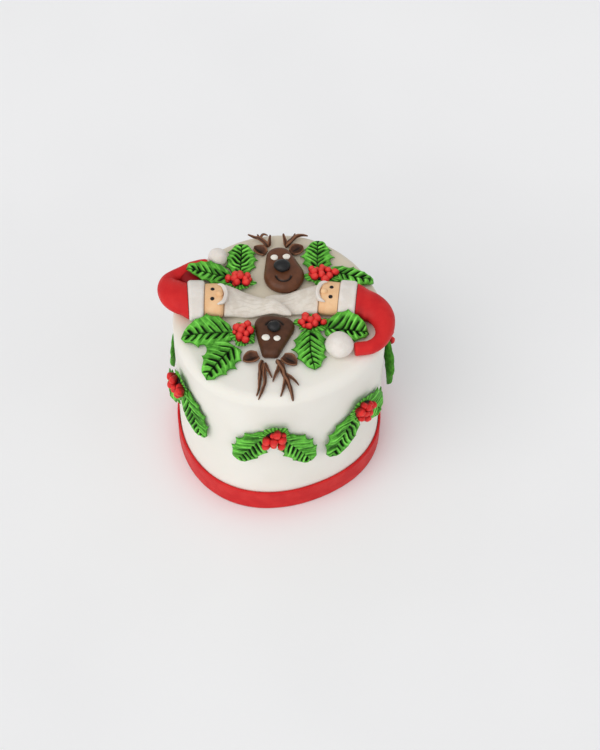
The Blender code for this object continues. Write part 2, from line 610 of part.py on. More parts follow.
def make_bearded(word, sizes, collection):
    """A bearded head in a red hat, lying on its back: brim, face, beard, moustache, hat and pompom."""
    white = material("pale_paste", PALE, 0.55)
    turn = math.radians(sizes["turn"])
    brow = Vector(sizes["brow"])
    along = Vector((math.cos(turn), math.sin(turn)))
    right = turn - math.pi / 2.0
    side = Vector((math.cos(right), math.sin(right)))

    def spot(forward, across):
        place = brow + along * forward + side * across
        return place.x, place.y

    def stations(rows):
        return [(*spot(forward, across), right, half, height, lift)
                for forward, across, half, height, lift in rows]

    half = sizes["brim_half"]
    tall = BRIM_HEIGHT
    length = sizes["brim_length"]
    brim = stations(((0.0, 0.0, half - 0.8, tall - 0.7, 0.0), (0.9, 0.0, half, tall, 0.0),
                     (length - 0.9, 0.0, half, tall, 0.0), (length, 0.0, half - 0.8, tall - 0.7, 0.0)))
    skew = math.radians(sizes["brim_turn"])
    brim = brim[:2] + [(x, y, bearing + skew, *rest) for x, y, bearing, *rest in brim[2:]]
    roll(f"brim_{word}", brim, above_top, white, collection)

    half = FACE_HALF
    tall = FACE_HEIGHT
    shift = sizes["face_shift"]
    face = stations(((-GAP, shift, half, tall, 0.0), (-0.5 * FACE_LENGTH, shift, half + 0.2, tall + 0.2, 0.0),
                     (2.0 - FACE_LENGTH, shift, half - 0.4, tall - 0.6, 0.0),
                     (-FACE_LENGTH, shift, half - 2.2, tall - 2.6, 0.0)))
    blank = roll(f"face_{word}_blank", face, above_top, white, collection)
    meshes = [blank.data.copy()]
    bpy.data.objects.remove(blank)
    for across in (-0.3 * half, 0.3 * half):
        bead = (*spot(-0.42 * FACE_LENGTH, shift + across), GAP + 0.955 * tall)
        meshes.append(ball_mesh("bead", bead, (BEAD_RADIUS, BEAD_RADIUS, 1.1), above_top, BERRY_ROUND,
                                BERRY_RINGS))
    button = (*spot(NOSE_FORWARD - FACE_LENGTH, shift), GAP + 0.96 * tall)
    meshes.append(ball_mesh("button", button, (BUTTON_NOSE,) * 3, above_top, BERRY_ROUND, BERRY_RINGS))
    fused(f"face_{word}", meshes, material("tan_paste", TAN, 0.5), collection)

    rings = []
    half = [(forward, -across, thick, lift) for forward, across, thick, lift in MOUSTACHE]
    strand = catmull([*half, *MOUSTACHE[-2::-1]], 2)
    for number, (forward, across, thick, lift) in enumerate(strand):
        before = strand[max(number - 1, 0)]
        after = strand[min(number + 1, len(strand) - 1)]
        way = Vector((after[0] - before[0], after[1] - before[1])).normalized()
        ring = []
        for step in range(STRAND_SIDES):
            angle = math.pi - 2.0 * math.pi * step / STRAND_SIDES
            out = thick * math.cos(angle)
            ring.append(above_top(*spot(forward - FACE_LENGTH + way.y * out, shift + across - way.x * out),
                                  GAP + lift + thick * (1.0 + math.sin(angle))))
        rings.append(ring)
    new_object(f"moustache_{word}", mesh_of(f"moustache_{word}", loft(bmesh.new(), rings)), white, collection)

    start = -FACE_LENGTH - GAP
    beard = catmull([(start - forward, across, wide, high, lift) for forward, across, wide, high, lift
                     in sizes["beard"]], 2)
    roll(f"beard_{word}", stations(beard), above_top, white, collection)

    rows = [(*spot(length + GAP, 0.0), right + skew, sizes["brim_half"] - 1.6, BRIM_HEIGHT - 1.0, 0.0)]
    pivot, inner, fan = sizes["bend"]
    for bearing, wide, high in catmull(fan, 2):
        out = math.radians(bearing)
        rows.append((pivot[0] + (inner + wide) * math.cos(out), pivot[1] + (inner + wide) * math.sin(out),
                     out + math.pi, wide, high, 0.0))
    arm = [(rows[-1][0], rows[-1][1], rows[-1][3], rows[-1][4]), *sizes["arm"]]
    for before, (x, y, wide, high) in zip(arm, arm[1:]):
        bearing = math.atan2(y - before[1], x - before[0]) - math.pi / 2.0
        rows.append((x, y, bearing, wide, high, 0.0))
    roll(f"hat_{word}", rows, above_top, material("red_paste", RED, 0.5), collection)

    x, y, wide, high = sizes["pompom"]
    pompom = ball_mesh(f"pompom_{word}", (x, y, GAP + 0.9 * high), (wide, wide, high), above_top,
                       POMPOM_ROUND, POMPOM_RINGS, GAP)
    new_object(f"pompom_{word}", pompom, white, collection)


def main():
    for obj in list(bpy.data.objects):
        bpy.data.objects.remove(obj)
    parts = bpy.data.collections.new("christmas_cake")
    bpy.context.scene.collection.children.link(parts)
    make_cake(parts)
    make_ribbon(parts)
    make_side_sprigs(parts)
    make_top_sprigs(parts)
    for name, sizes in REINDEER.items():
        make_reindeer(name, sizes, parts)
    for word, sizes in BEARDED.items():
        make_bearded(word, sizes, parts)


main()
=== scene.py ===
"""Finish and fine shapes of a small round Christmas cake, covered and decorated in sugar paste.

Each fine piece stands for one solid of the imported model. It lies where that solid lies, because both are
worked out from the same sizes, which are in millimetres here and become metres in the meshes.
"""

import math
import random

import bmesh
import bpy
from mathutils import Matrix, Vector, noise

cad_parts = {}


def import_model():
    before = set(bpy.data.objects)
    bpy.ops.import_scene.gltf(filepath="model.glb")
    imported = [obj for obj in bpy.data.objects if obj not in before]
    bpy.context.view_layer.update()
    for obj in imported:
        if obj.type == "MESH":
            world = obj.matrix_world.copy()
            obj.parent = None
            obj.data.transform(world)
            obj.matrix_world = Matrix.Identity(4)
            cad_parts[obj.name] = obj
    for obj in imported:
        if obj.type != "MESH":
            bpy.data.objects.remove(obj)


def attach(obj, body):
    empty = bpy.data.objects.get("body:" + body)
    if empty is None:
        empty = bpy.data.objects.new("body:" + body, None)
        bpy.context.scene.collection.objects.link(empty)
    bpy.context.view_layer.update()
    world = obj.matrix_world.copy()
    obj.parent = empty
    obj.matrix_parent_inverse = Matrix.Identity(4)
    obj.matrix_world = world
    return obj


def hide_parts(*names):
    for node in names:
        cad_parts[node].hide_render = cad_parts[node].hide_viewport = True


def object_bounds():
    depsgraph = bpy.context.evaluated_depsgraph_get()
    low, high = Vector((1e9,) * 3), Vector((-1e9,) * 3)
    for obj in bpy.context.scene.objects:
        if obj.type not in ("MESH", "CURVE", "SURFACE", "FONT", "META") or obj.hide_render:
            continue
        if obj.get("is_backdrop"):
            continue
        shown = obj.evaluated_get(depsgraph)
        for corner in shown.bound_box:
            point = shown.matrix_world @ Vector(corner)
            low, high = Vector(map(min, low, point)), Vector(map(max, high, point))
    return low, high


MM = 0.001
GAP = 0.3  # what each piece keeps clear of the one that it lies on

# Cake
CAKE_HEIGHT = 130.5
FOOT_RADIUS = 73.1
FLARE = 0.034
EDGE_ROUND = 8.0
DOME = 0.6
UNEVEN = ((2, 0.93, 143.0), (3, 1.24, -34.0), (4, 0.93, -83.0))  # lobes, height and bearing in degrees
CAKE_AROUND = 256
CAKE_RINGS = 64
HAND_LUMP = 0.22  # height of the broad unevenness that smoothing by hand leaves
LUMP_SIZE = 26.0
HAND_PRESS = 0.15  # how far the hands have pressed the paste in

# Ribbon
RIBBON_FOOT = 0.5
RIBBON_TOP = 19.8
RIBBON_THICK = 1.9
RIBBON_ROUND = 0.9
RIBBON_SWAY = 0.35  # how far the top edge wanders up and down
RIBBON_JOIN = 101.0  # bearing in degrees
JOIN_DEPTH = 0.7
JOIN_BREADTH = 0.8

# Holly leaf
LEAF_ROWS = 96
LEAF_ACROSS = 60
LEAF_UNDER = 6  # the underside has one point for so many of the upper side
LEAF_TEETH = 4
LEAF_THICK = 2.3
LEAF_EDGE = 0.5
LEAF_WAVE = 0.9
LEAF_PUFF = 0.7
TOOTH_DEPTH = 0.19
TOOTH_POINT = 0.09
VEIN_SLANT = 0.8
VEIN_WIDTH = 0.70
VEIN_DEPTH = 1.0
VEIN_PRESSES = 24  # veins of one half that are pressed each in its own way
TOP_VEINS = 6.6  # pitches of the side veins in a leaf's length
SIDE_VEINS = 8.6
VEIN_CURVE = 0.015  # how a vein bends towards the tip on its way out
VEIN_WANDER = 0.4
VEIN_APART = 0.8  # from one vein straight across to the next, for their pitch along the leaf
RIB_WIDTH = 0.62
TOP_RIB = 0.9  # depth of the middle vein
SIDE_RIB = -0.7  # below zero it stands up
RIDGE_WIDTH = 0.7
HIGHLIGHT_BESIDE = 1.25  # how far beside its vein a painted highlight lies
HIGHLIGHT_WIDTH = 0.5
LEAF_STREAK = 2.4
LEAF_DENT = 0.15
TOOTH_SHARP = 0.12  # how fast a point rises, for the pitch of the teeth
TOOTH_BACK = 0.10  # how far the teeth point back, for the leaf's width

# Halves of a leaf: how strong the veins are, how far out they reach and how far the teeth stick out
QUIET_HALF = (0.22, 0.9, 0.8)
SLIT_HALF = (1.0, 0.96, 0.5)
TOP_HALVES = ((1.0, 0.76, 1.1), (0.95, 0.68, 1.1))

# Berry
BERRY_RADIUS = 2.6
BERRY_LUMP = 0.16
BERRY_MESH = (26, 16)  # points around and rings
SMALL_MESH = (20, 12)
GOLDEN_TURN = math.radians(137.5)

# Sprigs of the side: bearing, height, and how much lower each leaf hangs, its base lift, tip lift and lean
SIDE_SPRIGS = (
    (-150.0, 99.8, (10.5, 0.4, 4.0, 2.0), (2.2, 0.4, 2.0, 2.8)),
    (-90.8, 92.6, (1.0, 0.3, 2.0, 0.0), (6.3, 0.3, 2.0, 0.0)),
    (-40.6, 89.0, (6.0, 0.4, 3.0, -2.6), (1.0, 0.4, 1.8, 0.0)),
    (14.0, 89.0, (-3.0, 0.4, 3.6, 4.6), (0.0, 0.4, 2.5, 0.0)),
    (60.6, 92.0, (0.0, 0.4, 2.5, 0.0), (2.0, 0.4, 2.0, 0.0)),
    (106.6, 88.0, (1.0, 0.4, 2.0, 0.0), (0.0, 0.4, 2.5, 0.0)),
    (152.4, 99.0, (5.0, 0.4, 2.5, 0.0), (11.5, 0.4, 2.6, -1.2)),
)
HANG_APART = 5.6
HANG_RISE = 2.0
HANG_REACH = 20.5
HANG_DROP = 32.6
HANG_WIDTH = 25.0
SIDE_BUNCH = (8.2, 8.8)
SIDE_BERRIES = 7
SIDE_STRETCH = 1.3  # how far a berry of the side stands out for its width
SIDE_SHADED = 0.7  # strength of its painted shade towards its foot and painted highlight on its crown

# Leaves of the top: base, tip, width, bow, base lift, tip lift, lean
TOP_LEAVES = {
    "holly_back_left_upright": ((-26.9, 34.8), (-26.1, 62.6), 23.4, 0.0, 0.3, 1.2, 0.0),
    "holly_back_left_level": ((-33.0, 31.0), (-62.2, 28.6), 17.4, 0.6, 0.3, 12.0, 5.0),
    "holly_back_right_upright": ((27.4, 38.0), (27.8, 65.8), 22.6, 0.0, 0.3, 1.2, 0.0),
    "holly_back_right_level": ((35.5, 37.8), (66.6, 28.2), 18.0, 0.4, 0.3, 1.2, 0.0),
    "holly_front_left_level": ((-31.5, -19.2), (-66.2, -23.6), 23.5, 1.0, 0.3, 1.4, 8.0),
    "holly_front_left_low": ((-29.2, -30.4), (-48.0, -57.8), 24.4, 1.0, 0.3, 1.0, 6.6),
    "holly_front_right_low": ((22.6, -16.0), (25.2, -50.2), 24.4, 1.6, 0.3, 1.0, 0.0),
    "holly_front_right_level": ((32.5, -14.8), (63.0, -19.0), 20.0, 0.0, 0.3, 1.4, -11.5),
}
# Bunches of the top: centre, spread and number of berries
TOP_BUNCHES = {
    "berries_back_left": ((-27.6, 26.4), (9.0, 5.2), 9),
    "berries_back_right": ((31.0, 32.4), (10.4, 6.4), 10),
    "berries_front_left": ((-24.0, -21.5), (6.6, 8.0), 8),
    "berries_front_right": ((23.4, -11.0), (9.8, 5.2), 9),
}

# The disc under each bunch, and for those on the top the leaf that it goes with
BRACT_AROUND = 120
BRACT_LIFT = 3.1
BRACT_REACH = 2.0
BRACT_RUFFLES = 5.0
BRACT_CREASES = 23.0
BRACT_NODES = {
    "berries_back_left": "holly_back_left_upright",
    "berries_back_right": "holly_back_right_upright",
    "berries_front_left": "holly_front_left_low",
    "berries_front_right": "holly_front_right_low",
}

# Reindeer
HEAD_HEIGHT = 7.5
HEAD_ROUND = 5.0
HEAD_AROUND = 144
HEAD_EDGE = 12  # rings over the rounded edge
HEAD_INSIDE = 28  # rings from there to the middle
HEAD_WIDEST = 0.36  # how high up a head is widest, for its height
HEAD_RISE = 0.58  # how far its rounded edge rises from there, for its height
MUZZLE_SWELL = 0.55
SMILE_DEPTH = 1.3
SMILE_BREADTH = 0.72
EAR_THICK = 1.8
EAR_CUP = 2.6
EAR_ROWS = 28
EAR_ACROSS = 24
STRAND_SIDES = 18

# Discs, noses, eyes and muzzles are a middle and a radius. A mouth also has the bearings of its two ends. An
# ear is its root, tip and width, and an antler its strands: each a radius and the points that it joins.
REINDEER = {
    "reindeer_back": {
        "finish": "back_head",
        "discs": ((4.0, 31.3, 14.3), (0.6, 47.6, 9.4)),
        "nose": (2.5, 35.6, 6.0),
        "mouth": (3.7, 28.6, 5.3, 190.0, 352.0),
        "muzzle": (4.0, 28.0, 11.0),
        "eyes": ((-2.9, 44.6, 2.7), (5.6, 45.4, 2.7)),
        "ears": (((-9.4, 53.6), (-17.4, 60.2), 9.2), ((9.4, 54.6), (17.2, 61.2), 10.6)),
        "lift": 2.2,
        "antlers": (
            (
                (1.7, ((-7.4, 60.0), (-10.4, 64.0), (-13.6, 66.6), (-17.5, 67.8), (-22.2, 70.2))),
                (1.1, ((-11.8, 65.2), (-12.6, 68.4), (-10.8, 70.6), (-7.8, 69.2))),
                (1.0, ((-13.0, 65.6), (-14.2, 68.2), (-15.4, 70.4))),
                (1.5, ((-7.2, 60.2), (-6.7, 64.0), (-6.0, 69.8))),
            ),
            (
                (1.7, ((5.0, 60.0), (8.4, 64.2), (12.2, 68.6), (16.6, 69.9), (21.0, 69.2))),
                (1.1, ((9.6, 65.4), (10.8, 68.4), (11.8, 71.6))),
                (1.5, ((5.2, 60.6), (4.4, 65.5), (3.2, 71.2))),
            ),
        ),
    },
    "reindeer_front": {
        "finish": "front_head",
        "discs": ((-8.0, -13.8, 8.4), (2.9, -15.2, 8.6), (-8.2, -37.8, 3.0), (-2.0, -38.0, 3.0)),
        "nose": (-2.8, -19.4, 4.8),
        "mouth": (-2.4, -18.3, 6.2, 22.0, 160.0),
        "muzzle": (-2.6, -17.0, 9.0),
        "eyes": ((-8.3, -27.7, 2.9), (-0.7, -28.3, 2.4)),
        "ears": (((-13.4, -38.4), (-24.0, -42.6), 10.2), ((3.4, -39.2), (13.2, -45.6), 10.0)),
        "lift": 0.0,
        "antlers": (
            (
                (1.45, ((-10.6, -42.0), (-11.9, -48.0), (-12.2, -54.1), (-12.5, -62.2), (-13.0, -67.5),
                        (-14.3, -71.6))),
                (1.3, ((-9.4, -45.5), (-9.2, -54.1), (-8.7, -60.6), (-10.3, -67.5), (-11.7, -71.0),
                       (-13.1, -74.0))),
                (1.2, ((-9.0, -44.3), (-7.0, -50.0), (-3.8, -56.8))),
            ),
            (
                (1.9, ((-0.9, -42.4), (2.3, -47.8), (4.8, -55.6), (6.6, -59.8), (8.8, -67.4), (9.8, -71.0),
                       (10.6, -74.2))),
                (1.3, ((4.9, -57.0), (4.7, -61.0), (3.8, -66.1), (2.0, -71.8))),
                (1.3, ((1.4, -46.4), (-0.8, -52.8), (-3.3, -60.4))),
                (1.3, ((5.0, -54.2), (9.8, -57.4), (14.4, -63.3))),
            ),
        ),
    },
}

# Bearded heads
BELLY = 0.42  # how high up a roll is widest, for its height
BRIM_HEIGHT = 14.6
FACE_LENGTH = 13.6
FACE_HALF = 14.0
FACE_HEIGHT = 12.8
BEAD_RADIUS = 1.5
BEAD_DOWN = 0.42  # how far below the brim the eyes lie, for the length of the face
BEAD_APART = 0.3  # how far they lie from its middle, for its half width
BUTTON_NOSE = 2.5
NOSE_FORWARD = 3.1
HAT_NARROWER = 1.6  # how much narrower and lower than its brim a hat starts
HAT_LOWER = 1.0
HAIR_LOCKS = 12.0
HAIR_DEPTH = 0.16

# From one end of a moustache to its middle: forward, across, thickness and lift
MOUSTACHE = ((4.6, 9.0, 0.5, 11.9), (2.1, 8.2, 1.2, 11.4), (-0.2, 6.0, 1.7, 10.4), (-1.6, 0.0, 1.7, 10.2))
MOUSTACHE_SIDES = 20

# A hat bends round a pivot: bearing, half width and height on the way. Its arm goes on from there: x, y,
# half width and height. A fold is its distance along, side from 0 to 1, length, breadth, depth and how
# dark its painted shade is. A shaded tuck is a ball of paste with painted shade that fills the gap inside
# the bend: its x, y, radius and height. A row of a beard is its distance, shift, half width, height and lift.
BEARDED = {
    "left": {
        "brow": (-51.4, 5.8),
        "turn": 180.0,
        "brim_turn": 4.5,
        "brim_length": 11.2,
        "brim_half": 17.3,
        "face_shift": 0.8,
        "bend": ((-69.5, 24.6), 1.2, ((-86.0, 14.6, 13.6), (-114.0, 11.6, 13.0), (-142.0, 8.8, 11.8),
                                      (-180.0, 6.4, 10.2), (-222.0, 5.0, 8.8), (-252.0, 5.1, 8.6))),
        "arm": ((-60.5, 37.4, 5.2, 8.4), (-54.0, 40.2, 4.8, 8.0), (-49.7, 41.3, 4.2, 7.6)),
        "pompom": (-43.0, 45.6, 6.7, 6.7),
        "folds": ((3.0, 0.92, 3.6, 0.2, 0.9, 0.9), (11.0, 0.95, 6.0, 0.2, 0.5, 1.0),
                  (22.0, 0.96, 7.0, 0.2, 0.3, 0.8), (24.5, 0.95, 1.0, 0.3, 0.9, 0.95)),
        "shaded_tucks": ((-61.5, 27.0, 7.4, 8.5),),
        "beard": ((0.0, 1.7, 14.2, 9.4, 0.0), (7.0, 0.8, 12.6, 8.0, 0.0), (16.0, -1.4, 10.9, 6.2, 0.0),
                  (25.0, -2.8, 8.2, 5.0, 1.2), (34.0, -4.0, 6.6, 4.4, 3.6), (41.0, -7.0, 4.9, 3.6, 3.6),
                  (47.0, -10.4, 1.2, 2.0, 3.6)),
    },
    "right": {
        "brow": (42.3, 8.0),
        "turn": -5.5,
        "brim_turn": 0.0,
        "brim_length": 12.0,
        "brim_half": 16.4,
        "face_shift": -0.6,
        "bend": ((57.5, -19.5), 9.6, ((80.0, 12.9, 13.4), (56.0, 11.0, 12.8), (33.0, 9.0, 12.0),
                                      (12.0, 7.2, 11.2), (-14.0, 5.8, 10.4), (-42.0, 5.0, 9.6),
                                      (-72.0, 4.7, 9.0))),
        "arm": ((56.6, -33.8, 4.8, 8.8), (52.5, -34.5, 4.6, 8.6)),
        "pompom": (42.2, -33.4, 9.8, 7.9),
        "folds": ((4.0, 0.84, 4.0, 0.2, 0.6, 0.6), (14.0, 0.92, 6.0, 0.2, 0.5, 0.7)),
        "shaded_tucks": (),
        "beard": ((0.0, 0.0, 13.6, 9.0, 0.0), (7.0, 0.8, 12.4, 7.0, 0.0), (16.0, 2.6, 11.0, 4.0, 0.0),
                  (24.0, 4.2, 9.0, 2.4, 0.0), (32.0, 3.4, 7.0, 2.2, 0.0), (38.0, 2.8, 3.6, 2.0, 0.0)),
    },
}

# Camera, which looks down on the cake as the photograph does
CAMERA_PLACE = (0.0, -936.0, 1280.0)
CAMERA_DOWN = 52.482
CAMERA_YAW = 0.986
CAMERA_ROLL = 1.167
CAMERA_LENS = 102.0

# Studio, where each light has its bearing, height, spread, strength and colour
LIGHTS = {
    "key": (-132.0, 42.0, 60.0, 1.19, (1.0, 0.985, 0.96)),
    "fill": (-50.0, 46.0, 100.0, 0.20, (1.0, 0.99, 0.98)),
}
SURROUND = (0.98, 0.99, 1.0)
SURROUND_STRENGTH = 0.60
FLOOR_SIZE = 8.0  # in metres
FLOOR_TONES = ((0.95, 0.95, 0.96), (0.93, 0.93, 0.94))
FLOOR_BLOTCH = 220.0
FLOOR_ROUGHNESS = 0.85

# Finishes, where a grain is its depth and a blotch its size. The colour given for grooves is painted shade, and
# the one for crests a painted highlight
FINISHES = {
    "leaf": dict(light=(0.150, 0.57, 0.060), deep=(0.062, 0.29, 0.028), shaded_groove=(0.001, 0.006, 0.001),
                 painted_highlight=(0.32, 1.0, 0.15), roughness=0.48, grain=0.10, blotch=3.2, gloss=0.10),
    "berry": dict(light=(0.84, 0.032, 0.027), deep=(0.56, 0.013, 0.015), shaded_groove=(0.012, 0.001, 0.001),
                  painted_highlight=(1.0, 0.12, 0.09), roughness=0.40, grain=0.05, blotch=2.6, coat=0.10, gloss=0.16),
    "red_paste": dict(light=(0.70, 0.026, 0.025), deep=(0.60, 0.016, 0.019), shaded_groove=(0.12, 0.003, 0.006),
                      roughness=0.48, grain=0.04, blotch=12.0, coat=0.02, gloss=0.14),
    "back_head": dict(light=(0.142, 0.048, 0.019), deep=(0.103, 0.035, 0.014), shaded_groove=(0.008, 0.004, 0.003),
                      roughness=0.38, grain=0.06, blotch=6.0, coat=0.12),
    "front_head": dict(light=(0.105, 0.038, 0.016), deep=(0.070, 0.025, 0.011), shaded_groove=(0.005, 0.003, 0.002),
                       roughness=0.44, grain=0.06, blotch=6.0, coat=0.06),
    "antler": dict(light=(0.170, 0.060, 0.026), deep=(0.085, 0.031, 0.014), shaded_groove=(0.008, 0.004, 0.002),
                   painted_highlight=(0.38, 0.18, 0.095), roughness=0.46, grain=0.10, blotch=3.0),
    "black_paste": dict(light=(0.018, 0.018, 0.019), deep=(0.009, 0.009, 0.010), shaded_groove=(0.003, 0.003, 0.003),
                        roughness=0.40, grain=0.06, blotch=3.0, coat=0.1),
    "bead": dict(light=(0.010, 0.010, 0.014), deep=(0.006, 0.006, 0.008), shaded_groove=(0.003, 0.003, 0.003),
                 roughness=0.35, grain=0.02, blotch=2.0),
    "face": dict(light=(0.93, 0.61, 0.35), deep=(0.86, 0.52, 0.27), shaded_groove=(0.42, 0.15, 0.05),
                 roughness=0.55, grain=0.04, blotch=7.0, glow=0.08),
    "pale_paste": dict(light=(0.86, 0.81, 0.76), deep=(0.77, 0.71, 0.65), shaded_groove=(0.46, 0.36, 0.27),
                       roughness=0.58, grain=0.05, blotch=7.0, glow=0.10),
    "beard": dict(light=(0.84, 0.78, 0.70), deep=(0.72, 0.65, 0.56), shaded_groove=(0.36, 0.29, 0.20),
                  roughness=0.60, grain=0.06, blotch=5.0, glow=0.08),
    "eye": dict(light=(0.92, 0.89, 0.82), deep=(0.86, 0.80, 0.70), shaded_groove=(0.5, 0.4, 0.3),
                roughness=0.42, grain=0.02, blotch=1.6, glow=0.05),
}
FINE_SIZE = 0.5
GRAIN_SIZE = 1.7
NOISE_RANGE = (0.35, 0.65)  # the part of a noise that is spread out to run from 0 to 1
COAT_ROUGHNESS = 0.25
GLOW_SPREAD = (1.0, 0.7, 0.5)  # of red, green and blue light inside the paste
GLOW_DEPTH = 2.0

# The white cover: light and deep tone at the front, and at the back of the top with painted shade, and where
# along Y one fades to the other
COVER_FRONT = ((0.90, 0.870, 0.805), (0.865, 0.835, 0.765))
COVER_BACK_SHADED = ((0.73, 0.65, 0.52), (0.68, 0.60, 0.47))
COVER_SHADE_FADE = (-45.0, 15.0)
COVER_BLOTCH = 34.0
COVER_FINE = 0.6
COVER_ROUGHNESS = 0.50
COVER_GRAIN_SIZE = 2.4
COVER_GRAIN = 0.03


# Placing


def polar(reach, bearing, height):
    """The point at a reach and a bearing from the middle, and at a height."""
    return Vector((reach * math.cos(bearing), reach * math.sin(bearing), height))


def uneven(bearing):
    """How far the hand-smoothed side stands out of a true circle at a bearing."""
    return sum(height * math.cos(lobes * bearing - math.radians(peak)) for lobes, height, peak in UNEVEN)


def side_radius(bearing, height):
    """Radius of the covered cake at a bearing and a height."""
    return FOOT_RADIUS * (1.0 + FLARE * height / CAKE_HEIGHT) + uneven(bearing)


def on_top(x, y, lift):
    """A point laid on the top at x, y: past the rounded edge it is carried on down the side."""
    reach = math.hypot(x, y)
    bearing = math.atan2(y, x)
    flat = side_radius(bearing, CAKE_HEIGHT) - EDGE_ROUND
    over = reach - flat
    turn = min(max(over / EDGE_ROUND, 0.0), math.pi / 2.0)
    fall = max(over - EDGE_ROUND * math.pi / 2.0, 0.0)
    radius = min(reach, flat) + EDGE_ROUND * math.sin(turn) + lift * math.sin(turn)
    height = CAKE_HEIGHT + EDGE_ROUND * (math.cos(turn) - 1.0) + lift * math.cos(turn) - fall
    height += DOME * max(1.0 - reach / flat, 0.0)
    return polar(radius, bearing, height)


def above_top(x, y, lift):
    """A point over the flat top, not carried down at the edge."""
    return Vector((x, y, CAKE_HEIGHT + DOME + lift))


def on_side(bearing):
    """The placing of points on the side: along it from a bearing, up from the foot, and out."""

    def place(along, up, lift):
        angle = math.radians(bearing) + along / side_radius(math.radians(bearing), up)
        return polar(side_radius(angle, up) + lift, angle, up)

    return place


def curved(before, here, there, after, share):
    """A number a share of the way from here to there on a smooth curve, given its neighbours too."""
    bend = 2 * before - 5 * here + 4 * there - after + share * (3 * here - before - 3 * there + after)
    return here + 0.5 * share * (there - before + share * bend)


def catmull(points, steps):
    """Points along a smooth curve through the given ones, with steps points to a stretch."""
    ends = [points[0], *points, points[-1]]
    found = []
    for four in zip(ends, ends[1:], ends[2:], ends[3:]):
        for step in range(steps):
            found.append(tuple(curved(*numbers, step / steps) for numbers in zip(*four)))
    found.append(tuple(points[-1]))
    return found


def smooth_step(low, high, value):
    """0 below low, 1 above high, and a soft rise between them."""
    share = min(max((value - low) / (high - low), 0.0), 1.0)
    return share * share * (3.0 - 2.0 * share)


def bell(value, width):
    """1 where a value is zero, with a soft fall to 0 on both sides."""
    return math.exp(-(value / width) ** 2)


def closing(past, least):
    """How wide a rounded end still is where it is a share of the way to its close."""
    return math.sqrt(max(1.0 - max(past, 0.0) ** 2, least))


def wander(x, y, size, seed):
    """Soft unevenness between -1 and 1 with bumps of about a size."""
    return noise.noise(Vector((x / size + 17.3 * seed, y / size - 9.1 * seed, 3.7 * seed)))


# Finishes


class Value:
    """A number that varies over a surface. Adding to it or multiplying it adds a Math node."""

    def __init__(self, paste, socket):
        self.paste = paste
        self.socket = socket

    def math(self, operation, other):
        made = self.paste.node("ShaderNodeMath", {"operation": operation}, {0: self, 1: other})
        return Value(self.paste, made.outputs[0])

    def __add__(self, other):
        return self.math("ADD", other)

    def __mul__(self, other):
        return self.math("MULTIPLY", other)

    __radd__ = __add__
    __rmul__ = __mul__


class Paste:
    """A finish of sugar paste: one Principled shader and what varies over it."""

    def __init__(self, name, coat=0.0, glow=0.0, gloss=0.25):
        self.material = bpy.data.materials.new(name)
        self.material.use_nodes = True
        self.tree = self.material.node_tree
        self.shader = self.tree.nodes["Principled BSDF"]
        even = {
            "Coat Weight": coat,
            "Coat Roughness": COAT_ROUGHNESS,
            "Specular IOR Level": gloss,
            "Subsurface Weight": glow,
            "Subsurface Radius": GLOW_SPREAD,
            "Subsurface Scale": GLOW_DEPTH * MM,
        }
        for socket, value in even.items():
            self.shader.inputs[socket].default_value = value
        place = self.node("ShaderNodeTexCoord").outputs["Object"]
        scaled = self.node("ShaderNodeVectorMath", {"operation": "SCALE"}, {0: place, "Scale": 1.0 / MM})
        self.place = scaled.outputs[0]

    def node(self, kind, settings=None, values=None):
        """A node of a type, with its settings and then the values or links of its sockets."""
        made = self.tree.nodes.new(kind)
        for name, setting in (settings or {}).items():
            setattr(made, name, setting)
        for key, value in (values or {}).items():
            if isinstance(value, Value):
                value = value.socket
            if isinstance(value, bpy.types.NodeSocket):
                self.tree.links.new(value, made.inputs[key])
            else:
                made.inputs[key].default_value = value
        return made

    def spread(self, socket, low, high):
        """A soft rise from 0 where a socket is low to 1 where it is high."""
        made = self.node("ShaderNodeMapRange", {"interpolation_type": "SMOOTHSTEP"},
                         {"Value": socket, "From Min": low, "From Max": high})
        return Value(self, made.outputs["Result"])

    def blotches(self, size, detail=2.0):
        """A soft noise with bumps of a size in millimetres, spread out to run from 0 to 1."""
        values = {"Vector": self.place, "Scale": 1.0 / size, "Detail": detail}
        return self.spread(self.node("ShaderNodeTexNoise", {}, values).outputs["Fac"], *NOISE_RANGE)

    def between(self, axis, low, high):
        """0 below a place along an axis and 1 above another, in millimetres."""
        parted = self.node("ShaderNodeSeparateXYZ", {}, {"Vector": self.place})
        return self.spread(parted.outputs[axis], low, high)

    def painted_shading(self):
        """The painted shading that the mesh holds: painted shade above zero and a painted highlight below it."""
        return Value(self, self.node("ShaderNodeAttribute", {"attribute_name": "painted_shading"}).outputs["Fac"])

    def mix(self, factor, first, second):
        """The first colour where the factor is 0, and the second where it is 1."""
        made = self.node("ShaderNodeMix", {"data_type": "RGBA"}, {"Factor": factor})
        for socket, colour in ((made.inputs[6], first), (made.inputs[7], second)):
            if isinstance(colour, bpy.types.NodeSocket):
                self.tree.links.new(colour, socket)
            else:
                socket.default_value = (*colour, 1.0)
        return made.outputs[2]

    def colour(self, socket):
        self.tree.links.new(socket, self.shader.inputs["Base Color"])

    def roughness(self, value):
        self.tree.links.new(value.socket, self.shader.inputs["Roughness"])

    def grain(self, value, depth):
        """Relief too fine for the mesh, from a value and a depth in millimetres."""
        bump = self.node("ShaderNodeBump", {}, {"Height": value, "Distance": depth * MM, "Strength": 0.6})
        self.tree.links.new(bump.outputs["Normal"], self.shader.inputs["Normal"])


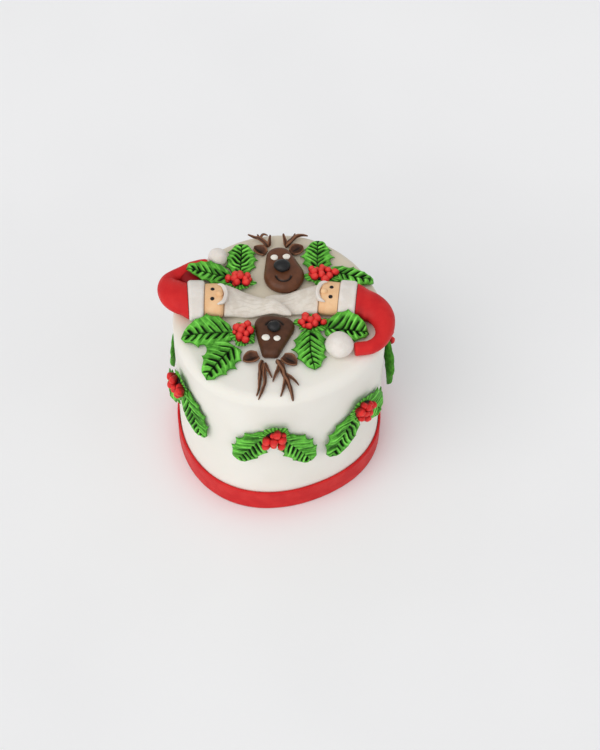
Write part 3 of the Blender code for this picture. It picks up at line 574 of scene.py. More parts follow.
def paste_finish(name, light, deep, shaded_groove, roughness, grain, blotch, painted_highlight=None, **even):
    """Kneaded sugar paste: two tones in broad blotches, painted shade in grooves, painted highlights, a fine dry
    grain.
    """
    paste = Paste(name, **even)
    broad = paste.blotches(blotch)
    fine = paste.blotches(FINE_SIZE, 3.0)
    # the painted shading that each mesh holds
    depth = paste.painted_shading()
    body = paste.mix(broad * 0.7 + fine * 0.3, light, deep)
    # painted highlight where the painted shading is below zero
    if painted_highlight:
        body = paste.mix(depth * -1.0, body, painted_highlight)
    # painted shade where the painted shading is above zero
    paste.colour(paste.mix(depth, body, shaded_groove))
    paste.roughness(broad * 0.10 + fine * 0.08 + (roughness - 0.09))
    paste.grain(fine + paste.blotches(GRAIN_SIZE), grain)
    return paste.material


def cover_finish():
    """The white paste over the cake, with painted shade that makes the back of the top darker and warmer."""
    paste = Paste("cover_skin", glow=0.08)
    broad = paste.blotches(COVER_BLOTCH)
    fine = paste.blotches(COVER_FINE, 3.0)
    front = paste.mix(broad * 0.8 + fine * 0.2, *COVER_FRONT)
    # painted shade: the tones at the back of the top are darker and warmer
    back = paste.mix(broad * 0.8 + fine * 0.2, *COVER_BACK_SHADED)
    top = paste.between("Z", CAKE_HEIGHT - EDGE_ROUND, CAKE_HEIGHT)
    # the painted shade fades in towards the back of the top
    paste.colour(paste.mix(top * paste.between("Y", *COVER_SHADE_FADE), front, back))
    paste.roughness(broad * 0.08 + fine * 0.05 + COVER_ROUGHNESS)
    paste.grain(fine + paste.blotches(COVER_GRAIN_SIZE), COVER_GRAIN)
    return paste.material


def make_finishes():
    """One finish for each colour of paste."""
    finishes = {name: paste_finish(name + "_skin", **tones) for name, tones in FINISHES.items()}
    finishes["cover"] = cover_finish()
    return finishes


# Meshes


def piece_of(name, skin, node, finish):
    """A smooth piece from a skin in millimetres. It rides on the cake and stands for a solid."""
    points, faces, painted_shadings = skin
    mesh = bpy.data.meshes.new(name)
    mesh.from_pydata([point * MM for point in points], [], faces)
    # each point's painted shading, which the finishes turn into painted shade and painted highlights
    depth = mesh.attributes.new("painted_shading", "FLOAT", "POINT")
    depth.data.foreach_set("value", painted_shadings)
    bm = bmesh.new()
    bm.from_mesh(mesh)
    bmesh.ops.recalc_face_normals(bm, faces=bm.faces)
    bm.to_mesh(mesh)
    bm.free()
    mesh.shade_smooth()
    mesh.materials.append(finish)
    piece = bpy.data.objects.new(name, mesh)
    bpy.context.scene.collection.objects.link(piece)
    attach(piece, "root")
    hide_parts(node)


def band(low, high, count):
    """The faces between two rings of so many points, from where each ring starts."""
    return [(low + here, low + (here + 1) % count, high + (here + 1) % count, high + here)
            for here in range(count)]


def loft(rings):
    """A closed skin through rings of points, each point given with its painted shading."""
    count = len(rings[0])
    points = [point for ring in rings for point, _ in ring]
    painted_shadings = [depth for ring in rings for _, depth in ring]
    faces = []
    for row in range(len(rings) - 1):
        faces += band(row * count, (row + 1) * count, count)
    for row in (0, len(rings) - 1):
        pole = len(points)
        points.append(sum((point for point, _ in rings[row]), Vector()) / count)
        painted_shadings.append(sum(depth for _, depth in rings[row]) / count)
        faces += [(row * count + here, row * count + (here + 1) % count, pole) for here in range(count)]
    return points, faces, painted_shadings


def joined(parts):
    """Several skins as one."""
    points, faces, painted_shadings = [], [], []
    for more, sides, shadings in parts:
        start = len(points)
        points += more
        painted_shadings += shadings
        faces += [tuple(start + corner for corner in side) for side in sides]
    return points, faces, painted_shadings


def ball(centre, radii, place, around=28, rings=16, floor=None, painted_shading=0.0, lump=0.0, seed=0, shaded=0.0):
    """A ball of paste. With a floor it is flattened where it rests; it can take painted shade, also towards its
    foot with a painted highlight on its crown.
    """
    points, faces, painted_shadings = [], [], []
    offset = Vector((seed * 7.7, seed * 3.1, seed))
    for ring in range(rings + 1):
        down = math.pi * ring / rings
        for step in range(around if 0 < ring < rings else 1):
            turn = 2.0 * math.pi * step / around
            way = polar(math.sin(down), turn, math.cos(down))
            swell = 1.0 + lump * noise.noise(way * 1.3 + offset)
            x, y, lift = (middle + radius * part * swell for middle, radius, part in zip(centre, radii, way))
            if floor is not None:
                lift = max(lift, floor)
            points.append(place(x, y, lift))
            # painted shade towards the foot and a painted highlight on the crown
            shade = smooth_step(0.60, -0.25, way.z) - 0.5 * smooth_step(0.65, 1.0, way.z)
            painted_shadings.append(painted_shading + shaded * shade)
    last = len(points) - 1
    for step in range(around):
        after = (step + 1) % around
        faces.append((0, 1 + step, 1 + after))
        faces.append((last, last - around + after, last - around + step))
        for ring in range(rings - 2):
            low = 1 + ring * around
            faces.append((low + step, low + around + step, low + around + after, low + after))
    return points, faces, painted_shadings


# Cake and ribbon


def make_cake(finishes):
    """The covered cake: flat foot, flaring side, soft top edge and a broad unevenness from the hands."""
    top = FOOT_RADIUS * (1.0 + FLARE)
    flat = top - EDGE_ROUND
    side_top = CAKE_HEIGHT - EDGE_ROUND
    side_rings = CAKE_RINGS // 2
    edge_rings = CAKE_RINGS // 4
    profile = [(0.6 * FOOT_RADIUS, 0.0), (FOOT_RADIUS - 1.0, 0.0), (FOOT_RADIUS, 0.8)]
    for step in range(1, side_rings):
        height = side_top * step / side_rings
        profile.append((FOOT_RADIUS * (1.0 + FLARE * height / CAKE_HEIGHT), height))
    for step in range(edge_rings + 1):
        turn = 0.5 * math.pi * step / edge_rings
        profile.append((flat + EDGE_ROUND * math.cos(turn), side_top + EDGE_ROUND * math.sin(turn)))
    for step in range(1, side_rings):
        reach = flat * (1.0 - step / side_rings)
        profile.append((reach, CAKE_HEIGHT + DOME * (1.0 - reach / flat)))
    rings = []
    for radius, height in profile:
        ring = []
        for step in range(CAKE_AROUND):
            angle = 2.0 * math.pi * step / CAKE_AROUND
            out = radius + uneven(angle) * smooth_step(0.6 * flat, flat, radius)
            fade = smooth_step(0.0, 6.0, height)
            lump = HAND_LUMP * fade * noise.noise(polar(out, angle, height) / LUMP_SIZE)
            lean = smooth_step(flat, top, radius) if height > side_top else 1.0
            out += lump * lean - HAND_PRESS * fade * lean
            up = height + (lump - HAND_PRESS) * (1.0 - lean) * fade
            ring.append((polar(out, angle, up), 0.0))
        rings.append(ring)
    piece_of("cake_cover", loft(rings), "cake", finishes["cover"])


def make_ribbon(finishes):
    """The red band of paste round the foot, rolled out and cut, with a soft edge and its join at the back, where
    painted shade darkens the groove.
    """
    inner = GAP
    outer = GAP + RIBBON_THICK
    straight = RIBBON_TOP - RIBBON_ROUND - RIBBON_FOOT
    section = [(inner, RIBBON_FOOT), (outer - 0.4, RIBBON_FOOT), (outer, RIBBON_FOOT + 0.5)]
    section += [(outer, RIBBON_FOOT + straight * step / 8.0) for step in range(1, 8)]
    for step in range(7):
        turn = 0.5 * math.pi * step / 6.0
        out = outer - RIBBON_ROUND * (1.0 - math.cos(turn))
        section.append((out, RIBBON_TOP - RIBBON_ROUND * (1.0 - math.sin(turn))))
    section.append((inner, RIBBON_TOP))
    count = len(section)
    points, faces, painted_shadings = [], [], []
    join = math.radians(RIBBON_JOIN)
    for step in range(CAKE_AROUND):
        angle = 2.0 * math.pi * step / CAKE_AROUND
        sway = RIBBON_SWAY * wander(60.0 * math.cos(angle), 60.0 * math.sin(angle), 34.0, 2)
        beside = abs((angle - join + math.pi) % (2.0 * math.pi) - math.pi) * FOOT_RADIUS
        for out, height in section:
            share = (height - RIBBON_FOOT) / (RIBBON_TOP - RIBBON_FOOT)
            shaded_groove = bell(beside + 2.0 * share, JOIN_BREADTH)
            if out > inner:
                soft = 0.12 * wander(60.0 * angle, height, 11.0, 5) - 0.12
                out += soft - JOIN_DEPTH * shaded_groove
            up = height + (sway - RIBBON_SWAY) * share
            points.append(polar(side_radius(angle, up) + out, angle, up))
            # painted shade in the groove of the join
            painted_shadings.append(0.5 * shaded_groove)
        faces += band(step * count, (step + 1) % CAKE_AROUND * count, count)
    piece_of("foot_ribbon", (points, faces, painted_shadings), "ribbon", finishes["red_paste"])


# Holly


def leaf_outline(share, width):
    """Half width of a leaf without teeth at a share of its length, and how full its thickness is there."""
    full = 0.5 * width * math.sin(math.pi * (0.07 + 0.86 * share) ** 0.85) ** 0.62
    blunt = closing(1.0 - share / 0.06, 0.04)
    end = blunt * closing((share - 0.92) / 0.08, 0.1)
    return full * (0.55 + 0.45 * blunt), end


def make_leaf(name, base, tip, width, bow, lifts, lean, place, seed, veins, halves, rib_depth, finish):
    """A holly leaf cut from rolled paste: hollow edges between pointed teeth, pressed veins with painted shade,
    puffed lobes.
    """
    draw = random.Random(seed)
    teeth = [[draw.uniform(0.4, 1.5) for _ in range(LEAF_TEETH + 1)] for _ in range(2)]
    offsets = (draw.uniform(0.0, 1.0), draw.uniform(0.0, 1.0))
    presses = [[(draw.uniform(0.75, 1.3), draw.uniform(0.6, 1.15), draw.uniform(0.65, 1.5))
                for _ in range(VEIN_PRESSES)] for _ in range(2)]
    line = Vector(tip) - Vector(base)
    length = line.length
    way = line / length
    side = Vector((way.y, -way.x))
    pitch = length / veins
    rings = []
    for row in range(LEAF_ROWS + 1):
        share = row / LEAF_ROWS
        nearest = round(share * LEAF_TEETH)
        apart = abs(share * LEAF_TEETH - nearest)
        scallop = 1.0 - (1.0 - 2.0 * apart) ** 2
        full, end = leaf_outline(share, width)
        middle = Vector(base) + line * share + side * bow * 4.0 * share * (1.0 - share)
        held = smooth_step(0.0, 0.12, share) * smooth_step(1.0, 0.9, share)
        grown = smooth_step(0.15, 0.5, share)
        top, bottom = [], []
        for step in range(LEAF_ACROSS + 1):
            across = 2.0 * step / LEAF_ACROSS - 1.0
            near = abs(across)
            half_side = int(across > 0.0)
            strength, reach, prick = halves[half_side]
            point = TOOTH_POINT * prick * grown * teeth[half_side][nearest] * math.exp(-apart / TOOTH_SHARP)
            half = full * (1.0 + (point - TOOTH_DEPTH * scallop) * near ** 2)
            out = abs(half * across)
            phase = (share * length - VEIN_SLANT * out - VEIN_CURVE * out * out) / pitch + offsets[half_side]
            phase += VEIN_WANDER * wander(share * 20.0, 0.7 * out, 6.0, seed % 17)
            number = round(phase)
            beside = (phase - number) * pitch * VEIN_APART
            press, far, broad = presses[half_side][number % VEIN_PRESSES]
            fade = 1.0 - smooth_step(0.72 * reach * far, 1.05 * reach * far, near)
            vein = bell(beside, VEIN_WIDTH * broad * (1.25 - 0.75 * near))
            vein *= fade * press * strength * held
            rib = bell(out, RIB_WIDTH - 0.3 * share) * smooth_step(0.0, 0.1, share)
            rib *= rib_depth * (0.8 + 0.4 * wander(share * 30.0, seed, 4.0, 2))
            shaded_groove = max(rib, vein)
            streak = LEAF_STREAK * wander(1.7 * phase, 0.09 * out, 1.0, seed % 13) * held
            lobe = held * (1.0 - near ** 2) * smooth_step(0.2, 1.7, abs(beside)) * (0.4 + 0.6 * strength)
            # painted highlight: a bright streak beside each vein, with no relief of its own
            painted_highlight = held * bell(beside - HIGHLIGHT_BESIDE, HIGHLIGHT_WIDTH) * (1.0 - near ** 3)
            painted_highlight *= (0.35 + 0.65 * strength) * press
            ridge = bell(out, RIDGE_WIDTH) * max(-rib_depth, 0.0) * (1.0 - share)
            thick = LEAF_EDGE + (LEAF_THICK - LEAF_EDGE) * math.sqrt(max(1.0 - near ** 2.6, 0.0))
            thick += LEAF_PUFF * lobe + 0.5 * ridge + (0.5 - 0.38 * strength) * streak * (1.0 - near ** 2)
            thick -= VEIN_DEPTH * shaded_groove * (1.0 - 0.45 * near)
            lift = lifts[0] + (lifts[1] - lifts[0]) * share ** 1.5 + GAP
            lift += LEAF_WAVE * near ** 1.5 * (0.25 + 0.75 * scallop)
            lift += max(lean * across, 0.0) * math.sin(math.pi * share) ** 0.7
            back = TOOTH_BACK * width * near * (1.0 - 0.6 * scallop) * share
            spot = middle + side * half * across - way * back
            thick += LEAF_DENT * wander(spot.x, spot.y, 3.2, 4) * (1.0 - near)
            # painted shade in the veins, at the edges and in the furrows of a quiet half, less a painted highlight
            # on crests, ridges and streaks
            shade = min(1.4 * shaded_groove + 0.4 * smooth_step(0.9, 1.0, near), 1.0)
            shade = max(shade, (0.2 - 1.1 * streak) * (1.0 - strength) * (1.0 - near ** 2))
            painted_brightening = 0.85 * painted_highlight + 0.5 * ridge + 0.25 * streak
            shade -= painted_brightening * max(1.0 - 2.5 * shade, 0.0)
            top.append((place(spot.x, spot.y, lift + max(thick * end, 0.3)), shade))
            if step % LEAF_UNDER == 0:
                bottom.append((place(spot.x, spot.y, lift + (0.15 if near > 0.99 else 0.0)), 0.25))
        rings.append(top + bottom[::-1])
    piece_of(name + "_fine", loft(rings), name, finish)


def make_bract(name, centre, spread, place, seed, node, finish):
    """The ruffled green disc that a bunch of berries is pressed on, with painted shade in its creases. It goes
    with one of the two leaves.
    """
    rings = []
    steps = [(0.3, 0.0), (0.97, 0.0)] + [(1.0 - 0.9 * number / 12.0, 1.0) for number in range(13)]
    for share, upper in steps:
        ring = []
        for step in range(BRACT_AROUND):
            turn = 2.0 * math.pi * step / BRACT_AROUND
            ruffle = math.cos(BRACT_RUFFLES * turn + seed)
            reach = share * (1.0 + 0.12 * ruffle + 0.06 * math.cos(9.0 * turn + 2.0 * seed))
            sway = 3.0 * wander(math.cos(turn), math.sin(turn), 0.6, seed)
            crease = 0.5 + 0.5 * math.cos(BRACT_CREASES * turn + sway)
            lift = BRACT_LIFT + 0.6 * share ** 2 * ruffle
            lift += upper * (0.9 - 0.6 * share ** 6 - 0.45 * crease * share)
            point = place(centre[0] + (spread[0] + BRACT_REACH) * reach * math.cos(turn),
                          centre[1] + (spread[1] + BRACT_REACH) * reach * math.sin(turn), lift)
            # painted shade in the creases of the top, and a painted highlight elsewhere on it
            ring.append((point, upper * (1.3 * crease ** 2 * share - 0.35)))
        rings.append(ring)
    piece_of(name, loft(rings), node, finish)


def make_bunch(name, centre, spread, count, stretch, place, seed, shaded, finish):
    """A bunch of berries pressed on the base of two leaves, with smaller ones pushed in between them over a dark
    ball of painted shade.
    """
    draw = random.Random(seed)
    shape = random.Random(seed + 100)
    bed = LEAF_THICK + 1.0

    def berry(reach, angle, height, radii, mesh, number):
        x = centre[0] + spread[0] * reach * math.cos(angle)
        y = centre[1] + spread[1] * reach * math.sin(angle)
        return ball((x, y, height), radii, place, *mesh, lump=BERRY_LUMP, seed=number + seed, shaded=shaded)

    # painted shade: a dark ball under the berries darkens the gaps between them
    shadow_core = (spread[0] - 1.2, spread[1] - 1.2, 2.2)
    parts = [ball((*centre, bed + 1.2), shadow_core, place, floor=bed + 0.1, painted_shading=1.0)]
    for number in range(count):
        reach = math.sqrt((number + 0.35) / count)
        angle = number * GOLDEN_TURN + seed
        radius = BERRY_RADIUS * draw.uniform(0.88, 1.12)
        draw.uniform(0.2, 3.0)  # the solid's berries are also turned by a random angle
        height = bed + radius * stretch + 2.0 * (1.0 - reach)
        radii = (radius * shape.uniform(0.94, 1.10), radius * shape.uniform(0.98, 1.24), radius * stretch)
        parts.append(berry(reach, angle, height, radii, BERRY_MESH, number))
    between = count // 2 + 2
    for number in range(between):
        angle = 2.0 * math.pi * (number + shape.uniform(-0.2, 0.2)) / between + seed
        radius = BERRY_RADIUS * shape.uniform(0.66, 0.84)
        reach = shape.uniform(0.55, 0.95)
        height = bed + 0.9 * radius * stretch
        radii = (radius, radius * shape.uniform(1.0, 1.3), radius * stretch)
        parts.append(berry(reach, angle, height, radii, SMALL_MESH, number + 40))
    piece_of(name + "_fine", joined(parts), name, finish)


def make_holly(finishes):
    """All leaves and berries, round the side and on the top."""
    leaf = finishes["leaf"]
    berry = finishes["berry"]
    for number, (bearing, height, *leaves) in enumerate(SIDE_SPRIGS, 1):
        place = on_side(bearing)
        for word, way, (lower, *lifts, lean) in zip(("left", "right"), (-1.0, 1.0), leaves):
            top = height + HANG_RISE - lower
            base = (way * HANG_APART, top)
            tip = (way * (HANG_APART + HANG_REACH), top - HANG_DROP)
            halves = (SLIT_HALF, QUIET_HALF) if way < 0.0 else (QUIET_HALF, SLIT_HALF)
            make_leaf(f"side_leaf_{word}_{number}", base, tip, HANG_WIDTH, -way, lifts, lean, place,
                      100 * number + int(way), SIDE_VEINS, halves, SIDE_RIB, leaf)
        make_bunch(f"side_berries_{number}", (0.0, height), SIDE_BUNCH, SIDE_BERRIES, SIDE_STRETCH, place,
                   number, SIDE_SHADED, berry)
        make_bract(f"side_bract_{number}", (0.0, height), SIDE_BUNCH, place, number,
                   f"side_leaf_left_{number}", leaf)
    for seed, (name, (base, tip, width, bow, low, high, lean)) in enumerate(TOP_LEAVES.items(), 10):
        make_leaf(name, base, tip, width, bow, (low, high), lean, on_top, seed, TOP_VEINS, TOP_HALVES,
                  TOP_RIB, leaf)
    for seed, (name, (centre, spread, count)) in enumerate(TOP_BUNCHES.items(), 20):
        make_bunch(name, centre, spread, count, 1.0, on_top, seed, 1.0, berry)
        make_bract(name + "_bract", centre, spread, on_top, seed, BRACT_NODES[name], leaf)


# Reindeer


def outline_reach(discs, centre, bearing):
    """How far the outline round a few discs lies from a centre inside it."""
    found = math.inf
    for step in range(-44, 45):
        lean = math.radians(2.0 * step)
        facing = bearing + lean
        way = (math.cos(facing), math.sin(facing))
        support = max((x - centre[0]) * way[0] + (y - centre[1]) * way[1] + radius for x, y, radius in discs)
        found = min(found, support / math.cos(lean))
    return found


def make_head(name, sizes, finishes):
    """A pillowy head with a swollen muzzle and a pressed smile with painted shade, its nose and two flat eyes."""
    discs = sizes["discs"]
    centre = (sum(x for x, _, _ in discs) / len(discs), sum(y for _, y, _ in discs) / len(discs))
    mouth_x, mouth_y, mouth_reach, mouth_from, mouth_to = sizes["mouth"]
    muzzle_x, muzzle_y, muzzle_reach = sizes["muzzle"]
    turns = [2.0 * math.pi * step / HEAD_AROUND for step in range(HEAD_AROUND)]
    reaches = [outline_reach(discs, centre, turn) for turn in turns]

    def dressed(x, y, pressed, height):
        """The point over x, y at a share of the head's height, and the painted shade of the smile there."""
        swell = math.exp(-((x - muzzle_x) ** 2 + (y - muzzle_y) ** 2) / muzzle_reach ** 2)
        turn = math.degrees(math.atan2(y - mouth_y, x - mouth_x)) % 360.0
        outside = max(mouth_from - turn, turn - mouth_to, 0.0)
        if outside > 180.0:
            outside = 360.0 - outside
        off_arc = math.hypot(x - mouth_x, y - mouth_y) - mouth_reach
        beside = math.hypot(off_arc, math.radians(outside) * mouth_reach)
        shaded_groove = bell(beside, SMILE_BREADTH) * pressed
        relief = MUZZLE_SWELL * swell + 0.22 * wander(x, y, 9.0, 6)
        up = height * HEAD_HEIGHT + pressed * relief - SMILE_DEPTH * shaded_groove
        return above_top(x, y, GAP + up), min(1.4 * shaded_groove, 1.0)

    edge = [(0.9, 0.0), (0.35, 0.10), (0.05, 0.25), (0.0, HEAD_WIDEST)]
    for number in range(1, HEAD_EDGE + 1):
        turn = 0.5 * math.pi * number / HEAD_EDGE
        edge.append((HEAD_ROUND * (1.0 - math.cos(turn)), HEAD_WIDEST + HEAD_RISE * math.sin(turn)))
    steps = [(inset, 1.0, height, smooth_step(0.3, 3.0, inset) if height > 0.3 else 0.0)
             for inset, height in edge]
    for number in range(1, HEAD_INSIDE):
        share = 1.0 - number / HEAD_INSIDE
        steps.append((HEAD_ROUND, share, 0.94 + 0.06 * (1.0 - share * share), 1.0))
    rings = []
    for inset, share, height, pressed in steps:
        ring = []
        for turn, reach in zip(turns, reaches):
            out = (reach - inset) * share
            x = centre[0] + out * math.cos(turn)
            y = centre[1] + out * math.sin(turn)
            ring.append(dressed(x, y, pressed, height))
        rings.append(ring)
    head = name + "_head"
    piece_of(name + "_pad", loft(rings), head, finishes[sizes["finish"]])
    top = GAP + HEAD_HEIGHT
    eyes = [ball((x, y, top + 0.1), (radius, 0.88 * radius, 1.1), above_top, lump=0.08, seed=number)
            for number, (x, y, radius) in enumerate(sizes["eyes"])]
    piece_of(name + "_eyes", joined(eyes), head, finishes["eye"])
    rest = 2.0 * GAP + HEAD_HEIGHT
    x, y, radius = sizes["nose"]
    radii = (radius, 0.9 * radius, 3.2)
    nose = ball((x, y, rest + 1.8), radii, above_top, 48, 32, rest - 0.25, lump=0.09, seed=3)
    piece_of(name + "_nose_fine", nose, name + "_nose", finishes["black_paste"])


def make_ear(name, root, tip, width, finish):
    """A cupped ear with a rolled rim, pinched at its root, with painted shade in its cup and crease and a painted
    highlight on its rim.
    """
    line = Vector(tip) - Vector(root)
    side = Vector((line.y, -line.x)).normalized()
    rings = []
    for row in range(EAR_ROWS + 1):
        share = row / EAR_ROWS
        half = 0.5 * width * math.sin(math.pi * (0.16 + 0.80 * share)) ** 0.7
        half *= closing((share - 0.85) / 0.15, 0.02)
        middle = Vector(root) + line * share
        top, bottom = [], []
        for step in range(EAR_ACROSS + 1):
            across = 2.0 * step / EAR_ACROSS - 1.0
            spot = middle + side * half * across
            lift = GAP + EAR_CUP * across * across * math.sin(math.pi * (0.2 + 0.7 * share))
            rim = bell(abs(across) - 0.82, 0.16)
            dip = (1.0 - across * across) * math.sin(math.pi * share) ** 0.8
            crease = bell(across + 0.12, 0.13) * math.sin(math.pi * share) ** 0.7
            flat = EAR_THICK * math.sqrt(max(1.0 - abs(across) ** 4, 0.05))
            thick = flat + 0.35 * rim - 0.8 * dip - 0.35 * crease
            # painted shade in the cup and crease, painted highlight on the rim
            depth = min(0.65 * dip + 0.5 * crease, 0.95) - 0.9 * rim * (1.0 - dip)
            top.append((on_top(spot.x, spot.y, lift + max(thick, 0.35)), depth))
            bottom.append((on_top(spot.x, spot.y, lift), 0.2))
        rings.append(top + bottom[::-1])
    piece_of(name + "_fine", loft(rings), name, finish)


def strand_radius(radius, share):
    """Radius of a strand at a share of its length: a little pinched at its root, and thinning to its tip."""
    return radius * min(0.75 + 1.5 * share, 1.0) * (1.0 - 0.74 * share * share)


def strand(radius, points, lift, rise, seed):
    """A strand of paste pinched out between the fingers, with ridges that wind along it, painted shade between
    them and a painted highlight on them.
    """
    path = catmull(points, 10)
    place = above_top if rise else on_top
    rings = []
    for number, here in enumerate(path):
        before = path[max(number - 1, 0)]
        after = path[min(number + 1, len(path) - 1)]
        bearing = math.atan2(after[1] - before[1], after[0] - before[0]) - math.pi / 2.0
        share = number / (len(path) - 1)
        blunt = closing(1.0 - number / 3.0, 0.05) * closing((share - 0.93) / 0.07, 0.05)
        thick = strand_radius(radius, share) * blunt * (1.1 + 0.2 * wander(here[0], here[1], 3.0, seed))
        ring = []
        for step in range(STRAND_SIDES):
            angle = math.pi - 2.0 * math.pi * step / STRAND_SIDES
            pinch = 0.5 + 0.5 * math.sin(3.0 * angle + seed + 2.4 * wander(here[0], here[1], 7.0, seed + 1))
            reach = thick * (1.08 - 0.30 * pinch)
            across = reach * math.cos(angle)
            point = place(here[0] + math.cos(bearing) * across, here[1] + math.sin(bearing) * across,
                          lift + rise * share + thick + reach * math.sin(angle))
            # painted shade where the strand is pinched in, painted highlight elsewhere
            ring.append((point, 1.35 * pinch ** 2 - 0.5))
        rings.append(ring)
    return loft(rings)


def make_reindeer(finishes):
    """Both reindeer heads with their ears and antlers."""
    brown = finishes["antler"]
    for name, sizes in REINDEER.items():
        make_head(name, sizes, finishes)
        for word, (root, tip, width) in zip(("left", "right"), sizes["ears"]):
            make_ear(f"{name}_ear_{word}", root, tip, width, brown)
        for word, strands in zip(("left", "right"), sizes["antlers"]):
            node = f"{name}_antler_{word}"
            parts = [strand(radius, points, GAP + 0.12 * number, sizes["lift"], number)
                     for number, (radius, points) in enumerate(strands, 1)]
            piece_of(node + "_fine", joined(parts), node, brown)


# Bearded heads


def resampled(stations, spots):
    """Stations of a roll at distances along it."""
    reaches = [0.0]
    for before, after in zip(stations, stations[1:]):
        reaches.append(reaches[-1] + math.hypot(after[0] - before[0], after[1] - before[1]))
    found = []
    low = 0
    for spot in spots:
        while low < len(stations) - 2 and reaches[low + 1] < spot:
            low += 1
        share = (spot - reaches[low]) / max(reaches[low + 1] - reaches[low], 1e-9)
        found.append(tuple(a + (b - a) * share for a, b in zip(stations[low], stations[low + 1])))
    return found


def roll(stations, start_round, end_round, relief, fineness, over):
    """A soft roll of paste through stations, with rounded ends and relief over its top, which also gives its
    painted shade.

    A station is its x, y, bearing across, half width, height and lift. The rings lie a fineness apart, and
    over is how many stretches each has from side to side.
    """
    length = sum(math.hypot(b[0] - a[0], b[1] - a[1]) for a, b in zip(stations, stations[1:]))
    spots = [start_round * (1.0 - math.cos(0.5 * math.pi * step / 8.0)) for step in range(8)]
    count = max(int((length - start_round - end_round) / fineness), 1)
    spots += [start_round + (length - start_round - end_round) * step / count for step in range(count + 1)]
    spots += [length - end_round * (1.0 - math.cos(0.5 * math.pi * step / 8.0)) for step in range(7, -1, -1)]
    rings = []
    for spot, (x, y, bearing, half, height, lift) in zip(spots, resampled(stations, spots)):
        near = max(1.0 - spot / start_round, 0.0)
        far = max(1.0 - (length - spot) / end_round, 0.0)
        shrink = start_round * (1.0 - math.sqrt(1.0 - near * near))
        shrink += end_round * (1.0 - math.sqrt(1.0 - far * far))
        half = max(half - shrink, 0.15)
        height = max(height - shrink, 0.3)
        middle = BELLY * height
        rise = height - middle
        foot = math.asin(middle / rise)
        ring = []
        for step in range(over + 1):
            turn = step / over
            angle = math.pi + foot - (math.pi + 2.0 * foot) * turn
            out, shaded_groove = relief(spot, turn)
            fade = min(math.sin(math.pi * turn) * 2.5, 1.0) * (1.0 - max(near, far) ** 3)
            across = half * math.cos(angle) + out * fade * math.cos(angle)
            up = middle + rise * math.sin(angle) + out * fade * math.sin(angle)
            point = above_top(x + math.cos(bearing) * across, y + math.sin(bearing) * across,
                              GAP + lift + max(up, 0.0))
            # the painted shade that the relief gives
            ring.append((point, min(max(shaded_groove * fade, 0.0), 1.0)))
        rings.append(ring)
    return loft(rings)


def plain_relief(seed, height, size):
    """The broad dents that handling leaves."""

    def relief(spot, turn):
        return height * (wander(spot, 40.0 * turn, size, seed) - 0.6), 0.0

    return relief


def hair_relief(seed):
    """Fine locks pressed side by side, which wind a little and fade where they start, with painted shade in the
    grooves between them.
    """

    def relief(spot, turn):
        wind = 1.6 * wander(spot, 10.0 * turn, 16.0, seed) + 0.5 * wander(spot, 30.0 * turn, 6.0, seed + 3)
        lock = abs(math.sin(math.pi * (HAIR_LOCKS * turn + wind)))
        shaded_groove = bell(lock, 0.30)
        patch = wander(spot, 24.0 * turn, 10.0, seed + 5)
        held = smooth_step(0.0, 7.0, spot) * smooth_step(-0.35, 0.35, patch)
        broad = 0.25 * (wander(spot, 26.0 * turn, 12.0, seed + 8) - 0.5)
        return held * HAIR_DEPTH * (0.35 * lock - 0.25 - 0.75 * shaded_groove) + broad, 0.22 * shaded_groove * held

    return relief


def fold_relief(folds, seed):
    """The folds of a bent roll, with painted shade in them and broad dents between them."""

    def relief(spot, turn):
        out = 0.22 * (wander(spot, 30.0 * turn, 13.0, seed) - 0.6)
        shade = 0.0
        for along, side, wide, broad, deep, shade_strength in folds:
            shaded_groove = math.exp(-((spot - along) / wide) ** 2 - ((turn - side) / broad) ** 2)
            out -= deep * shaded_groove
            shade = max(shade, shade_strength * shaded_groove)
        return out, shade

    return relief


def make_moustache(word, spot, shift, finish):
    """Two curled ends of soft paste that meet under the nose, with painted shade between their locks."""
    ends = [(forward, -across, thick, lift) for forward, across, thick, lift in MOUSTACHE]
    path = catmull([*ends, *MOUSTACHE[-2::-1]], 10)
    rings = []
    for number, (forward, across, thick, lift) in enumerate(path):
        before = path[max(number - 1, 0)]
        after = path[min(number + 1, len(path) - 1)]
        way = Vector((after[0] - before[0], after[1] - before[1])).normalized()
        share = number / (len(path) - 1)
        thick *= math.sqrt(max(1.0 - (abs(2.0 * share - 1.0) ** 12), 0.04))
        ring = []
        for step in range(MOUSTACHE_SIDES):
            angle = math.pi - 2.0 * math.pi * step / MOUSTACHE_SIDES
            lock = 0.5 + 0.5 * math.sin(4.0 * angle + 5.0 * share)
            reach = thick * (1.0 - 0.13 * lock)
            out = reach * math.cos(angle)
            point = above_top(*spot(forward - FACE_LENGTH + way.y * out, shift + across - way.x * out),
                              GAP + lift + thick + reach * math.sin(angle))
            # painted shade where a lock is pressed in
            ring.append((point, 0.25 * lock ** 3))
        rings.append(ring)
    piece_of(f"moustache_{word}_fine", loft(rings), f"moustache_{word}", finish)


